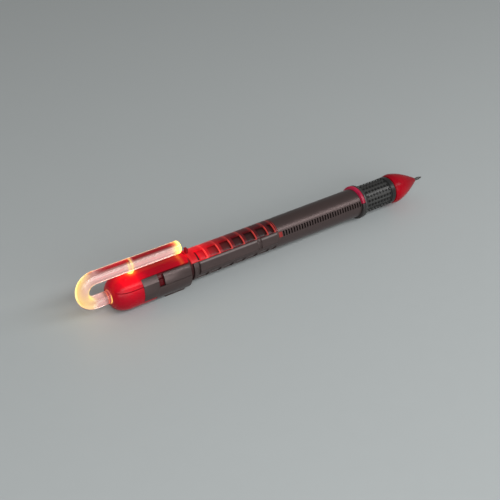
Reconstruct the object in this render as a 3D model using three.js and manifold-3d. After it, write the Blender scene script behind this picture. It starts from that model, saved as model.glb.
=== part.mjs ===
// Light-up novelty ball pen: a clear acrylic hook clip, a red lamp housing with
// button cells under it, a dark barrel with a ladder of red windows and two rows
// of fine slots, a grip collar with rings of small studs, and a red nose cone
// that unscrews.
//
// Millimetres. X runs along the pen towards the writing tip, Z is up through the
// clip, and Y runs across. Stations are measured from the flat on the housing's
// dome, and angles in a cross-section from the horizontal up towards the clip.

import * as THREE from 'three';
import { mergeVertices } from 'three/addons/utils/BufferGeometryUtils.js';
import Module from 'manifold-3d';

const wasm = await Module();
wasm.setup();

// Facets and clearances
const turnFacets = 32;
const smallFacets = 24;
const fitGap = 0.3;
const faceGap = 0.1;
const near = -1;
const far = 1;
const quarterTurn = 90;
const halfTurn = 180;

// Clear acrylic hook clip
const clipRod = 4.5;
const clipHeight = 9.3;
const clipStandOff = 4.8;
const clipReach = 32.5;
const clipSeat = 3.6;
const clipSteps = 36;
const clipSides = 12;
const pegDiameter = 1.8;
const pegStation = 8.5;
const pegSink = 1.2;

// Lamp housing, split along a level seam
const domeRadius = 6.35;
const domeFlatRadius = 2.7;
const domeRound = 5.9;
const domeLength = 10;
const rearWall = 4.2;
const housingWall = 0.9;
const housingDrop = 0.6;
const coverLength = 18.7;
const seamHeight = 2.8;
const bottomStripLength = 5;
const coverSeatMargin = 1;
const doorSeatMargin = 0.5;

// Side covers, with a bevel that runs along them above the ridge
const coverThickness = 0.85;
const coverLowAngle = -29;
const coverTopAngle = 50;
const ridgeAngle = 26;
const ridgeRise = 0.12;
const notchStation = 16;
const notchAngle = 7;

// Slide switch on the near side
const switchTravel = 2;
const switchSpare = 0.2;
const sliderTopAngle = 39;
const sliderRise = 0.05;
const sliderStem = 4;
const sliderStemSetback = 3.6;
const sliderStemHeight = 0.9;
const sliderStemLevel = 1.25;
const leafThickness = 0.2;
const leafLength = 13;

// Battery door with its flat foot, and the screw that holds it
const footDrop = 0.1;
const footHalfWidth = 2.7;
const footThickness = 0.85;
const footOverhang = 3.1;
const footPoint = 4.5;
const footSetback = 3.1;
const doorThickness = 0.8;
const screwHead = 2;
const screwHeadDepth = 0.4;
const screwHeadSink = 0.05;
const screwShank = 1;
const screwLength = 1.7;
const screwInset = 1.7;

// Button cells, contacts, board and lamps
const cellInset = 0.3;
const cellThickness = 2.15;
const cellStep = 0.5;
const cellCount = 4;
const cellGap = 0.1;
const cellSideGap = 0.4;
const cellFacets = 16;
const contactPlate = 0.5;
const contactBump = 0.5;
const contactBumpDiameter = 2.4;
const boardThickness = 0.8;
const boardInset = 0.55;
const lampDiameter = 3;
const lampFlange = 3.6;
const lampFlangeDepth = 0.9;
const lampLength = 4;
const lampFacets = 12;

// Neck between the housing and the barrel
const neckGap = 1.8;
const neckRadius = 4.9;
const neckSpigot = 3.5;

// Barrel, turned about its axis against the clip and the housing
const barrelTurn = 21;
const barrelRearRadius = 5.3;
const barrelFrontRadius = 5.5;
const barrelBore = 8.8;
const beadWidth = 1.3;
const beadRise = 0.12;
const beadGroove = 0.9;
const beadGrooveDepth = 0.35;
const ladderLength = 36.05;
const slottedLength = 39.15;
const windowEdgeAngle = 14;

// Ladder of windows: bays start at the bead and the last one is shorter
const bayPitch = 5.18;
const bayCount = 7;
const firstBar = 0.8;
const barWidth = 1.2;
const lastBar = 0.9;
const bayLowAngle = 19;
const bayTopAngle = 63;
const pocketDepth = 0.45;
const pocketTopAngle = -43;
const pocketLowAngle = -81;
const coverBaseGap = 0.1;
const lugLength = 0.9;
const lugWidth = 1.6;
const lugTop = 7.1;
const lipLength = 0.6;
const lipThickness = 0.35;
const nubLength = 1.5;
const nubHeight = 1.9;
const nubRise = 0.2;
const strapLength = 0.5;
const strapTopAngle = 25;
const nubLapAngle = 2;

// Raised rails on both sides
const railAngle = -8.5;
const railHeight = 4.4;
const railFace = 5.6;
const railRoot = 4.9;
const railBevel = 0.35;
const longRailLength = 24.2;
const railBreak = 1.8;
const shortRailLength = 7.1;
const railRidge = 0.5;
const railRidgeDrop = 0.2;

// Two rows of fine slots, one on each side of the barrel
const slotCount = 31;
const slotPitch = 1.205;
const slotWidth = 0.5;
const slotHeight = 1.9;
const slotInset = 2.25;

// Dark light tube inside the barrel
const tubeWall = 0.7;
const tubeStart = 0.3;

// Two-part ring in front of the barrel
const ringRadius = 6.4;
const ringWidth = 1.3;
const ringSplit = 0.5;
const ringCutAngle = 60;

// Threaded bush inside the barrel and the grip
const bushInsert = 5.7;
const bushRadius = 4.15;
const bushNoseRadius = 3.3;
const bushNoseLength = 10.8;
const bushBore = 3.6;

// Grip collar with rings of small studs
const flangeRadius = 6.35;
const flangeWidth = 0.6;
const flangeTaper = 1.8;
const gripRootRadius = 4.85;
const studRings = 8;
const studPitch = 1.524;
const studLength = 0.85;
const studRadius = 5.35;
const studLead = 0.15;
const studRows = 18;
const rowGap = 0.9;
const rowGapDepth = 0.6;
const lipLead = 0.35;
const gripLip = 1.8;
const gripLipRadius = 5.4;

// Seal and nose cone
const sealThickness = 0.35;
const sealRadius = 5.05;
const noseLength = 13.9;
const noseBaseRadius = 5.45;
const noseWaistRadius = 5.75;
const noseWaistStation = 2;
const noseEndRadius = 1;
const noseSteps = 6;
const noseFullness = 0.35;
const noseBore = 1.5;
const noseMouth = 1.2;
const spigotRadius = 3.6;
const spigotWall = 1;
const spigotLength = 4.5;

// Refill
const refillDiameter = 3;
const refillLength = 36;
const plugLength = 1.8;
const writingReach = 4.2;
const pointDiameter = 1.1;
const pointTaper = 4;
const pointShoulder = 2.4;
const pointShoulderDiameter = 2.6;
const pointBack = 9.4;
const pointNeck = 0.9;
const ballDiameter = 0.6;

// Stations along the axis
const housingEnd = domeLength + coverLength;
const barrelStart = housingEnd + neckGap;
const ladderEnd = barrelStart + ladderLength;
const barrelEnd = ladderEnd + slottedLength;
const ringStart = barrelEnd + faceGap;
const ringEnd = ringStart + ringWidth;
const gripStart = ringEnd + faceGap;
const studStart = gripStart + flangeWidth + flangeTaper + studLead;
const studEnd = studStart + (studRings - 1) * studPitch + studLength;
const gripEnd = studEnd + lipLead + gripLip;
const sealStart = gripEnd + faceGap / 2;
const noseStart = sealStart + sealThickness + faceGap / 2;
const noseEnd = noseStart + noseLength;
const tipEnd = noseEnd + writingReach;
const bendCentre = -clipStandOff;
const tailEnd = bendCentre - clipHeight / 2 - clipRod / 2;

// Radii and places that follow from the sizes above
const coreRadius = domeRadius - coverThickness - fitGap / 2;
const cavityRadius = coreRadius - housingWall;
const coverInner = coreRadius + fitGap / 2;
const doorOuter = coverInner + doorThickness;
const footDepth = doorOuter + footDrop;
const stemTip = -cavityRadius + fitGap;
const leafOuter = stemTip + fitGap / 2;
const leafInner = leafOuter + leafThickness;
const contactRadius = -leafInner - faceGap;
const cellRadius = contactRadius - cellInset;
const barrelInner = barrelBore / 2;
const doorStart = domeLength + bottomStripLength + fitGap;
const screwStation = doorStart + screwInset;
const cellStart = screwStation + contactPlate + contactBump + cellGap + fitGap;
const cellEnd = cellStart + (cellCount - 1) * (cellThickness + cellGap) + cellThickness;
const hatchHalfWidth = cellRadius + cellSideGap;
const bushStart = barrelEnd - bushInsert;
const tubeOuter = barrelInner - fitGap;
const socketRadius = spigotRadius + fitGap;

function radians(degrees) {
  return degrees * Math.PI / 180;
}

// A point of a cross-section at an angle above the horizontal, on one side
function at(side, angle, radius) {
  return [side * radius * Math.cos(radians(angle)), radius * Math.sin(radians(angle))];
}

function arcPoints(side, fromAngle, toAngle, radius, steps) {
  const points = [];
  for (let i = 0; i <= steps; i += 1) {
    points.push(at(side, fromAngle + (toAngle - fromAngle) * i / steps, radius));
  }
  return points;
}

function signedVolume(positions, triangles) {
  let sum = 0;
  const a = new THREE.Vector3();
  const b = new THREE.Vector3();
  const c = new THREE.Vector3();
  for (let i = 0; i < triangles.length; i += 3) {
    a.fromArray(positions, 3 * triangles[i]);
    b.fromArray(positions, 3 * triangles[i + 1]);
    c.fromArray(positions, 3 * triangles[i + 2]);
    sum += a.dot(b.cross(c)) / 6;
  }
  return sum;
}

// A closed solid from a geometry: shared vertices merged, flat triangles at a
// pole left out, and the faces turned outwards
function solid(geometry) {
  const bare = geometry.clone();
  bare.deleteAttribute('normal');
  bare.deleteAttribute('uv');
  const merged = mergeVertices(bare, 1e-5);
  const index = merged.index.array;
  const triangles = [];
  for (let i = 0; i < index.length; i += 3) {
    const [a, b, c] = [index[i], index[i + 1], index[i + 2]];
    if (a !== b && b !== c && c !== a) {
      triangles.push(a, b, c);
    }
  }
  const positions = Array.from(merged.attributes.position.array);
  if (signedVolume(positions, triangles) < 0) {
    triangles.reverse();
  }
  return new wasm.Manifold(new wasm.Mesh({
    numProp: 3,
    vertProperties: new Float32Array(positions),
    triVerts: new Uint32Array(triangles),
  }));
}

// Turned piece: profile points are [station, radius], and its axis may be raised
function turned(profile, facets = turnFacets, rise = 0) {
  const points = profile.map(([station, radius]) => new THREE.Vector2(radius, station));
  const geometry = new THREE.LatheGeometry(points, facets);
  geometry.rotateZ(-Math.PI / 2);
  geometry.translate(0, 0, rise);
  return solid(geometry);
}

function tube(start, end, inner, outer, facets = turnFacets) {
  return turned([[start, inner], [start, outer], [end, outer], [end, inner], [start, inner]], facets);
}

function rod(start, end, radius, facets = turnFacets) {
  return turned([[start, 0], [start, radius], [end, radius], [end, 0]], facets);
}

// Cross-section outline of [y, z] points carried along X
function bar(outline, start, end) {
  const shape = new THREE.Shape(outline.map(([y, z]) => new THREE.Vector2(y, z)));
  const geometry = new THREE.ExtrudeGeometry(shape, { depth: end - start, bevelEnabled: false });
  geometry.applyMatrix4(new THREE.Matrix4().makeBasis(
    new THREE.Vector3(0, 1, 0),
    new THREE.Vector3(0, 0, 1),
    new THREE.Vector3(1, 0, 0),
  ));
  geometry.translate(start, 0, 0);
  return solid(geometry);
}

// Plan outline of [x, y] points carried up Z
function slab(outline, low, high) {
  const shape = new THREE.Shape(outline.map(([x, y]) => new THREE.Vector2(x, y)));
  const geometry = new THREE.ExtrudeGeometry(shape, { depth: high - low, bevelEnabled: false });
  geometry.translate(0, 0, low);
  return solid(geometry);
}

function block(x0, x1, y0, y1, z0, z1) {
  const geometry = new THREE.BoxGeometry(x1 - x0, y1 - y0, z1 - z0);
  geometry.translate((x0 + x1) / 2, (y0 + y1) / 2, (z0 + z1) / 2);
  return solid(geometry);
}

// Upright round pin
function post(x, low, high, radius) {
  const geometry = new THREE.CylinderGeometry(radius, radius, high - low, smallFacets);
  geometry.rotateX(Math.PI / 2);
  geometry.translate(x, 0, (low + high) / 2);
  return solid(geometry);
}

// Sector of a pipe between two angles on one side, cut a little fan at a time
function sector(side, fromAngle, toAngle, inner, outer, start, end) {
  const steps = Math.max(1, Math.round(Math.abs(toAngle - fromAngle) / 7.5));
  const outerArc = arcPoints(side, fromAngle, toAngle, outer, steps);
  const innerArc = arcPoints(side, toAngle, fromAngle, inner, steps);
  return bar([...outerArc, ...innerArc], start, end);
}

// Block that faces outwards at an angle, from one radius to another, and may be
// narrower at its face
function facing(side, angle, height, inner, outer, faceHeight = height) {
  const a = radians(angle);
  const along = [side * Math.cos(a), Math.sin(a)];
  const across = [-side * Math.sin(a), Math.cos(a)];
  const corners = [[inner, -height], [outer, -faceHeight], [outer, faceHeight], [inner, height]];
  return corners.map(([radius, width]) => [
    radius * along[0] + width / 2 * across[0],
    radius * along[1] + width / 2 * across[1],
  ]);
}

function finish(color, roughness, metalness, opacity = 1) {
  return { color, roughness, metalness, opacity, transparent: opacity < 1 };
}

const clearAcrylic = finish(0xf4e9e4, 0.05, 0, 0.45);
const redAcrylic = finish(0xc80c1c, 0.15, 0, 0.85);
const gunmetal = finish(0x4c4644, 0.35, 0.6);
const darkGrip = finish(0x3c3e3c, 0.5, 0.3);
const blackRubber = finish(0x161616, 0.8, 0);
const smokedTube = finish(0x2a1012, 0.3, 0);
const steel = finish(0x8a8a8c, 0.3, 0.9);
const brass = finish(0xb89a54, 0.35, 0.9);
const greenBoard = finish(0x2c5a3a, 0.6, 0);
const inkTube = finish(0xd8dce0, 0.3, 0);

// The lamp housing and all that it holds sit a little below the barrel's axis
const pen = new THREE.Group();
pen.position.set(-(tailEnd + tipEnd) / 2, 0, footDepth + housingDrop);
const lampEnd = new THREE.Group();
lampEnd.position.z = -housingDrop;
pen.add(lampEnd);
const turnedBarrel = new THREE.Group();
turnedBarrel.rotation.x = -radians(barrelTurn);
pen.add(turnedBarrel);

function add(name, body, look, group = pen) {
  const mesh = body.getMesh();
  const geometry = new THREE.BufferGeometry();
  geometry.setAttribute('position', new THREE.BufferAttribute(new Float32Array(mesh.vertProperties), 3));
  geometry.setIndex(new THREE.BufferAttribute(new Uint32Array(mesh.triVerts), 1));
  geometry.computeVertexNormals();
  const piece = new THREE.Mesh(geometry, new THREE.MeshStandardMaterial(look));
  piece.name = name;
  group.add(piece);
}

// The clip's centre line: from inside the dome, back along the axis, round the
// bend and forward above the housing
class HookLine extends THREE.Curve {
  getPoint(share, target = new THREE.Vector3()) {
    const radius = clipHeight / 2;
    const lower = clipSeat + clipStandOff;
    const round = Math.PI * radius;
    const run = share * (lower + round + clipReach);
    if (run <= lower) {
      return target.set(clipSeat - run, 0, 0);
    }
    if (run <= lower + round) {
      const turn = (run - lower) / radius;
      return target.set(bendCentre - radius * Math.sin(turn), 0, radius - radius * Math.cos(turn));
    }
    return target.set(bendCentre + run - lower - round, 0, clipHeight);
  }
}

function addClip() {
  const section = new THREE.Shape();
  section.absarc(0, 0, clipRod / 2, 0, 2 * Math.PI);
  const geometry = new THREE.ExtrudeGeometry(section, {
    steps: clipSteps,
    curveSegments: clipSides / 2,
    bevelEnabled: false,
    extrudePath: new HookLine(),
  });
  const peg = post(pegStation, domeRadius - pegSink, clipHeight - clipRod / 4, pegDiameter / 2);
  add('clip', solid(geometry).add(peg), clearAcrylic, lampEnd);
}

// Profile of the dome: a small flat, then a quarter ellipse up to full radius
function domeProfile() {
  const points = [[0, 0]];
  const steps = 7;
  for (let i = 0; i <= steps; i += 1) {
    const turn = Math.PI / 2 * i / steps;
    points.push([
      domeRound - domeRound * Math.cos(turn),
      domeFlatRadius + (domeRadius - domeFlatRadius) * Math.sin(turn),
    ]);
  }
  return points;
}

// Pocket round the housing's core, where a cover or the door lies flush
function pocket(side, fromAngle, toAngle, start) {
  const end = housingEnd + 1;
  const ring = tube(start, end, coreRadius, 2 * domeRadius);
  return ring.intersect(sector(side, fromAngle, toAngle, coreRadius / 2, 3 * domeRadius, start - 1, end + 1));
}

function housingBody() {
  const outside = turned([
    ...domeProfile(),
    [housingEnd, domeRadius],
    [housingEnd, 0],
  ]);
  const low = coverLowAngle - coverSeatMargin;
  const top = coverTopAngle + coverSeatMargin;
  const doorEdge = low + doorSeatMargin;
  return outside
    .subtract(pocket(near, low, top, domeLength))
    .subtract(pocket(far, low, top, domeLength))
    .subtract(pocket(near, doorEdge, -halfTurn - doorEdge, domeLength + bottomStripLength))
    .subtract(rod(rearWall, housingEnd + 1, cavityRadius))
    .subtract(rod(-1, rearWall + 1, clipRod / 2 + fitGap / 2, smallFacets))
    .subtract(post(pegStation, cavityRadius - 1, domeRadius + 1, pegDiameter / 2 + fitGap / 2));
}

function addHousing() {
  const body = housingBody();
  const reach = 2 * domeRadius;
  const above = block(-1, housingEnd + 1, -reach, reach, seamHeight + faceGap / 2, reach);
  const below = block(-1, housingEnd + 1, -reach, reach, -reach, seamHeight - faceGap / 2);
  const hatch = block(cellStart - fitGap, cellEnd + fitGap, -hatchHalfWidth, hatchHalfWidth, -reach, -1);
  const stemLow = sliderStemLevel - sliderStemHeight / 2 - switchSpare;
  const stemHigh = sliderStemLevel + sliderStemHeight / 2 + switchSpare;
  const stemEnd = housingEnd - sliderStemSetback + switchSpare;
  const stemStart = stemEnd - sliderStem - switchTravel - 2 * switchSpare;
  const stemSlot = block(stemStart, stemEnd, -reach, -cavityRadius + 1, stemLow, stemHigh);
  const screwHole = post(screwStation, -reach, -cavityRadius + 1, screwShank / 2 + fitGap / 2);
  add('housing_upper', body.intersect(above), redAcrylic, lampEnd);
  const lower = body.intersect(below).subtract(hatch).subtract(stemSlot).subtract(screwHole);
  add('housing_lower', lower, redAcrylic, lampEnd);
}

// Outline of a side cover: round below, a flat side up to the ridge, then a bevel
function coverOutline(side, lowAngle, topAngle, inner, rise) {
  const outer = domeRadius + rise;
  const points = [];
  if (lowAngle < 0) {
    points.push(...arcPoints(side, lowAngle, 0, outer, 5));
  } else {
    points.push(at(side, lowAngle, outer));
  }
  points.push(at(side, ridgeAngle, outer + ridgeRise));
  points.push(at(side, topAngle, outer));
  points.push(...arcPoints(side, topAngle, lowAngle, inner, 8));
  return points;
}

function addSideCover(name, side) {
  const outline = coverOutline(side, coverLowAngle, coverTopAngle, coverInner, 0);
  let cover = bar(outline, domeLength + faceGap, housingEnd);
  if (side === near) {
    const reach = 2 * domeRadius;
    const notchEnd = housingEnd + 1;
    cover = cover.subtract(sector(side, notchAngle, quarterTurn, cavityRadius, reach, notchStation, notchEnd));
  }
  add(name, cover, gunmetal, lampEnd);
}

function addSwitch() {
  const start = notchStation + switchTravel + switchSpare;
  const low = notchAngle + 1;
  const cap = bar(coverOutline(near, low, sliderTopAngle, coverInner, sliderRise), start, housingEnd);
  const stemEnd = housingEnd - sliderStemSetback;
  const stem = block(
    stemEnd - sliderStem,
    stemEnd,
    -coverInner - coverThickness / 2,
    stemTip,
    sliderStemLevel - sliderStemHeight / 2,
    sliderStemLevel + sliderStemHeight / 2,
  );
  add('switch_slider', cap.add(stem), gunmetal, lampEnd);
  const leaf = block(
    stemEnd - leafLength,
    stemEnd,
    leafOuter,
    leafInner,
    sliderStemLevel - sliderStemHeight / 2,
    sliderStemLevel + sliderStemHeight / 4,
  );
  add('switch_leaf', leaf, brass, lampEnd);
}

function footOutline() {
  const start = doorStart + footSetback;
  const end = housingEnd + footOverhang;
  return [
    [start, 0],
    [start + footPoint / 3, footHalfWidth],
    [end - footPoint, footHalfWidth],
    [end, 0],
    [end - footPoint, -footHalfWidth],
    [start + footPoint / 3, -footHalfWidth],
  ];
}

function addBatteryDoor() {
  const low = coverLowAngle - coverSeatMargin;
  const innerArc = arcPoints(near, -halfTurn - low, low, coverInner, 16);
  const outerArc = arcPoints(near, low, -halfTurn - low, doorOuter, 16);
  const plate = bar([...outerArc, [0, 0]], doorStart, housingEnd);
  const hollow = bar([...innerArc, [0, 0]], doorStart - 1, housingEnd + 1);
  const foot = slab(footOutline(), -footDepth, -footDepth + footThickness);
  const headLow = -doorOuter + screwHeadSink;
  const headHigh = headLow + screwHeadDepth;
  const headHole = post(screwStation, -footDepth - 1, headHigh + fitGap / 2, screwHead / 2 + fitGap / 2);
  const shankHole = post(screwStation, -footDepth, -cavityRadius, screwShank / 2 + fitGap / 2);
  const door = plate.add(foot).subtract(hollow).subtract(headHole).subtract(shankHole);
  add('battery_door', door, gunmetal, lampEnd);

  const head = post(screwStation, headLow, headHigh, screwHead / 2);
  const shank = post(screwStation, headLow + screwHeadDepth / 2, headLow + screwLength, screwShank / 2);
  const slot = block(
    screwStation - screwHead,
    screwStation + screwHead,
    -screwHead / 12,
    screwHead / 12,
    headLow - 1,
    headLow + screwHeadDepth / 3,
  );
  add('door_screw', head.add(shank).subtract(slot), steel, lampEnd);
}

function addCells() {
  for (let i = 0; i < cellCount; i += 1) {
    const start = cellStart + i * (cellThickness + cellGap);
    const cell = turned([
      [start, 0],
      [start, cellRadius - cellStep],
      [start + cellStep, cellRadius - cellStep],
      [start + cellStep, cellRadius],
      [start + cellThickness, cellRadius],
      [start + cellThickness, 0],
    ], cellFacets);
    add(`cell_${i + 1}`, cell, steel, lampEnd);
  }
}

function addContacts() {
  const plateEnd = cellStart - cellGap - contactBump;
  const rearPlate = rod(plateEnd - contactPlate, plateEnd, contactRadius, smallFacets);
  const bumpStart = plateEnd - contactPlate / 2;
  const rearBump = rod(bumpStart, plateEnd + contactBump, contactBumpDiameter / 2, smallFacets);
  add('contact_rear', rearPlate.add(rearBump), brass, lampEnd);
  const frontStart = cellEnd + cellGap;
  const frontPlate = rod(frontStart, frontStart + contactPlate, contactRadius, smallFacets);
  add('contact_front', frontPlate, brass, lampEnd);
}

// Round lamp: a flange, a body and a domed end, facing either way along X
function lamp(flangeStation, direction) {
  const radius = lampDiameter / 2;
  const profile = [[0, 0], [0, lampFlange / 2], [lampFlangeDepth, lampFlange / 2]];
  profile.push([lampFlangeDepth, radius]);
  const steps = 4;
  for (let i = 0; i < steps; i += 1) {
    const turn = Math.PI / 2 * i / steps;
    profile.push([lampLength - radius + radius * Math.sin(turn), radius * Math.cos(turn)]);
  }
  profile.push([lampLength, 0]);
  return turned(profile.map(([run, r]) => [flangeStation + direction * run, r]), lampFacets);
}

function addElectronics() {
  const rearFlange = clipSeat + fitGap + lampLength;
  add('led_rear', lamp(rearFlange, -1), redAcrylic, lampEnd);
  const boardStart = rearFlange + faceGap;
  const boardEnd = cellStart - cellGap - contactBump - contactPlate - faceGap;
  const boardHalfWidth = cavityRadius - boardInset;
  const board = block(
    boardStart,
    boardEnd,
    -boardHalfWidth,
    boardHalfWidth,
    -boardThickness / 2,
    boardThickness / 2,
  );
  add('circuit_board', board, greenBoard, lampEnd);
  const frontFlange = cellEnd + cellGap + contactPlate + faceGap;
  add('led_front', lamp(frontFlange, 1), redAcrylic, lampEnd);
}

// The plug's rear half follows the housing's axis and its front half the barrel's
function addNeck() {
  const start = cellEnd + cellGap + contactPlate + faceGap;
  const end = barrelStart + neckSpigot;
  const inHousing = cavityRadius - fitGap / 2;
  const inBarrel = barrelInner - fitGap / 2;
  const bore = lampFlange / 2 + fitGap / 2;
  const rear = turned([
    [start, 0],
    [start, inHousing],
    [housingEnd + neckGap / 2, inHousing],
    [housingEnd + neckGap / 2, 0],
  ], smallFacets, -housingDrop);
  const front = turned([
    [housingEnd + faceGap, 0],
    [housingEnd + faceGap, neckRadius],
    [barrelStart - faceGap, neckRadius],
    [barrelStart - faceGap, inBarrel],
    [end, inBarrel],
    [end, 0],
  ], smallFacets);
  const hole = turned([
    [start - 1, 0],
    [start - 1, bore],
    [end + 1, bore],
    [end + 1, 0],
  ], smallFacets, -housingDrop);
  add('neck_plug', rear.add(front).subtract(hole), blackRubber);
}

function barrelRadiusAt(station) {
  const share = (station - barrelStart) / (barrelEnd - barrelStart);
  return barrelRearRadius + (barrelFrontRadius - barrelRearRadius) * share;
}

function baySpans() {
  const first = barrelStart + beadWidth + firstBar;
  const spans = [];
  for (let i = 0; i < bayCount; i += 1) {
    const start = first + i * bayPitch;
    const end = Math.min(start + bayPitch - barWidth, ladderEnd - lastBar);
    spans.push([start, end]);
  }
  return spans;
}

function addLightCover() {
  const inner = barrelInner + coverBaseGap;
  const outer = barrelRadiusAt(ladderEnd);
  const edge = windowEdgeAngle + 1;
  let cover = bar([
    ...arcPoints(near, edge, halfTurn - edge, outer, 15),
    ...arcPoints(near, halfTurn - edge, edge, inner, 15),
  ], barrelStart + faceGap, ladderEnd - faceGap);
  const lip = bar([
    ...arcPoints(near, edge, halfTurn - edge, outer, 15),
    ...arcPoints(near, halfTurn - edge, edge, outer - lipThickness, 15),
  ], barrelStart - lipLength, barrelStart + 2 * faceGap);
  cover = cover.add(lip);
  const lug = facing(near, quarterTurn - barrelTurn, lugWidth, outer - lipThickness / 2, lugTop);
  cover = cover.add(bar(lug, barrelStart - lipLength, barrelStart - lipLength + lugLength));
  for (const [start, end] of baySpans()) {
    for (const side of [near, far]) {
      cover = cover.subtract(sector(side, bayLowAngle, bayTopAngle, inner / 2, outer + 1, start, end));
    }
  }
  const strapEnd = ladderEnd + strapLength;
  for (const side of [near, far]) {
    cover = cover.add(sector(side, edge + 1, strapTopAngle, inner, outer, ladderEnd - lastBar / 2, strapEnd));
    cover = cover.add(sector(side, nubLapAngle, strapTopAngle, inner, outer, ladderEnd + faceGap, strapEnd));
    const nub = facing(side, 0, nubHeight, inner, outer + nubRise);
    cover = cover.add(bar(nub, ladderEnd + faceGap, ladderEnd + nubLength));
  }
  add('light_cover', cover, redAcrylic, turnedBarrel);
}

function railSpans() {
  const start = barrelStart + beadWidth + beadGroove;
  const middle = start + longRailLength;
  return [
    [start, middle, 0],
    [middle + (railBreak - railRidge) / 2, middle + (railBreak + railRidge) / 2, railRidgeDrop],
    [middle + railBreak, middle + railBreak + shortRailLength, 0],
  ];
}

function barrelShell() {
  const grooveStart = barrelStart + beadWidth;
  const grooveEnd = grooveStart + beadGroove;
  const bead = barrelRadiusAt(barrelStart) + beadRise;
  const groove = barrelRadiusAt(grooveStart) - beadGrooveDepth;
  return turned([
    [barrelStart, barrelInner],
    [barrelStart, bead],
    [grooveStart, bead],
    [grooveStart, groove],
    [grooveEnd, groove],
    [grooveEnd, barrelRadiusAt(grooveEnd)],
    [ladderEnd, barrelRadiusAt(ladderEnd)],
    [barrelEnd, barrelFrontRadius],
    [barrelEnd, barrelInner],
    [barrelStart, barrelInner],
  ]);
}

function addBarrel() {
  let barrel = barrelShell();
  for (const side of [near, far]) {
    for (const [start, end, drop] of railSpans()) {
      const faceHeight = railHeight - 2 * railBevel;
      const outline = facing(side, railAngle, railHeight, railRoot, railFace - drop, faceHeight);
      barrel = barrel.add(bar(outline, start, end));
    }
  }
  const open = windowEdgeAngle;
  const low = barrelInner / 2;
  const high = 2 * barrelInner;
  const opening = bar([
    ...arcPoints(near, open, halfTurn - open, high, 12),
    ...arcPoints(near, halfTurn - open, open, low, 12),
  ], barrelStart - 1, ladderEnd);
  barrel = barrel.subtract(opening);
  for (const side of [near, far]) {
    const seatHeight = nubHeight + 2 * faceGap;
    const nubSeat = facing(side, 0, seatHeight, low, high);
    barrel = barrel.subtract(bar(nubSeat, ladderEnd - faceGap, ladderEnd + nubLength + faceGap));
    const strapTop = strapTopAngle + 1;
    const strapSeatEnd = ladderEnd + strapLength + faceGap;
    const strapSeat = sector(side, 0, strapTop, low, high, ladderEnd - faceGap, strapSeatEnd);
    barrel = barrel.subtract(strapSeat);
    for (const [start, end] of baySpans()) {
      const floor = barrelRadiusAt(start) - pocketDepth;
      barrel = barrel.subtract(sector(side, pocketLowAngle, pocketTopAngle, floor, high, start, end));
    }
    for (let i = 0; i < slotCount; i += 1) {
      const middle = ladderEnd + slotInset + i * slotPitch;
      const outline = facing(side, 0, slotHeight, low, high);
      barrel = barrel.subtract(bar(outline, middle - slotWidth / 2, middle + slotWidth / 2));
    }
  }
  add('barrel', barrel, gunmetal, turnedBarrel);
}

function addLightTube() {
  const start = barrelStart + neckSpigot + tubeStart;
  const end = bushStart - tubeStart;
  add('light_tube', tube(start, end, tubeOuter - tubeWall, tubeOuter, smallFacets), smokedTube);
}

function addRing() {
  const inner = bushRadius + fitGap / 2;
  const full = tube(ringStart, ringEnd, inner, ringRadius);
  const reach = 3 * ringRadius;
  const upper = bar([
    at(near, ringSplit, inner / 4),
    at(near, ringSplit, reach),
    at(near, quarterTurn, reach),
    at(far, ringSplit, reach),
    at(far, ringSplit, inner / 4),
  ], ringStart - 1, ringEnd + 1);
  const lower = bar([
    at(near, -ringSplit, inner / 4),
    at(near, -ringSplit, reach),
    at(near, -ringCutAngle, reach),
    at(far, -ringCutAngle, reach),
    at(far, -ringSplit, reach),
    at(far, -ringSplit, inner / 4),
  ], ringStart - 1, ringEnd + 1);
  add('ring_upper', full.intersect(upper), redAcrylic, turnedBarrel);
  add('ring_lower', full.intersect(lower), blackRubber, turnedBarrel);
}

function addBush() {
  const bush = turned([
    [bushStart, bushBore / 2],
    [bushStart, bushRadius],
    [ringEnd, bushRadius],
    [ringEnd, bushNoseRadius],
    [ringEnd + bushNoseLength, bushNoseRadius],
    [ringEnd + bushNoseLength, bushBore / 2],
    [bushStart, bushBore / 2],
  ], smallFacets);
  add('front_bush', bush, brass);
}

function gripFlange(bore) {
  const flangeEnd = gripStart + flangeWidth;
  return turned([
    [gripStart, bore],
    [gripStart, flangeRadius],
    [flangeEnd, flangeRadius],
    [flangeEnd + flangeTaper, gripRootRadius],
    [flangeEnd + flangeTaper, bore],
    [gripStart, bore],
  ]);
}

// Rings with one facet to each row of studs, cut apart along the edges between
function gripStuds(bore) {
  const start = gripStart + flangeWidth + flangeTaper / 2;
  const profile = [
    [start, bore],
    [start, gripRootRadius],
  ];
  const bevel = studLength / 5;
  for (let i = 0; i < studRings; i += 1) {
    const ring = studStart + i * studPitch;
    profile.push([ring, gripRootRadius]);
    profile.push([ring + bevel, studRadius]);
    profile.push([ring + studLength - bevel, studRadius]);
    profile.push([ring + studLength, gripRootRadius]);
  }
  const socketStart = gripEnd - spigotLength - fitGap;
  profile.push(
    [gripEnd - gripLip, gripRootRadius],
    [gripEnd - gripLip, gripLipRadius],
    [gripEnd, gripLipRadius],
    [gripEnd, socketRadius],
    [socketStart, socketRadius],
    [socketStart, bore],
    [start, bore],
  );
  let studs = turned(profile, studRows);
  for (let i = 0; i < studRows; i += 1) {
    const angle = quarterTurn + 2 * halfTurn * i / studRows;
    const between = facing(near, angle, rowGap, studRadius - rowGapDepth, studRadius + 1);
    studs = studs.subtract(bar(between, studStart - studLead / 2, studEnd + studLead / 2));
  }
  return studs;
}

function addGrip() {
  const bore = bushNoseRadius + fitGap;
  add('grip', gripFlange(bore).add(gripStuds(bore)), darkGrip);
}

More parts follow.
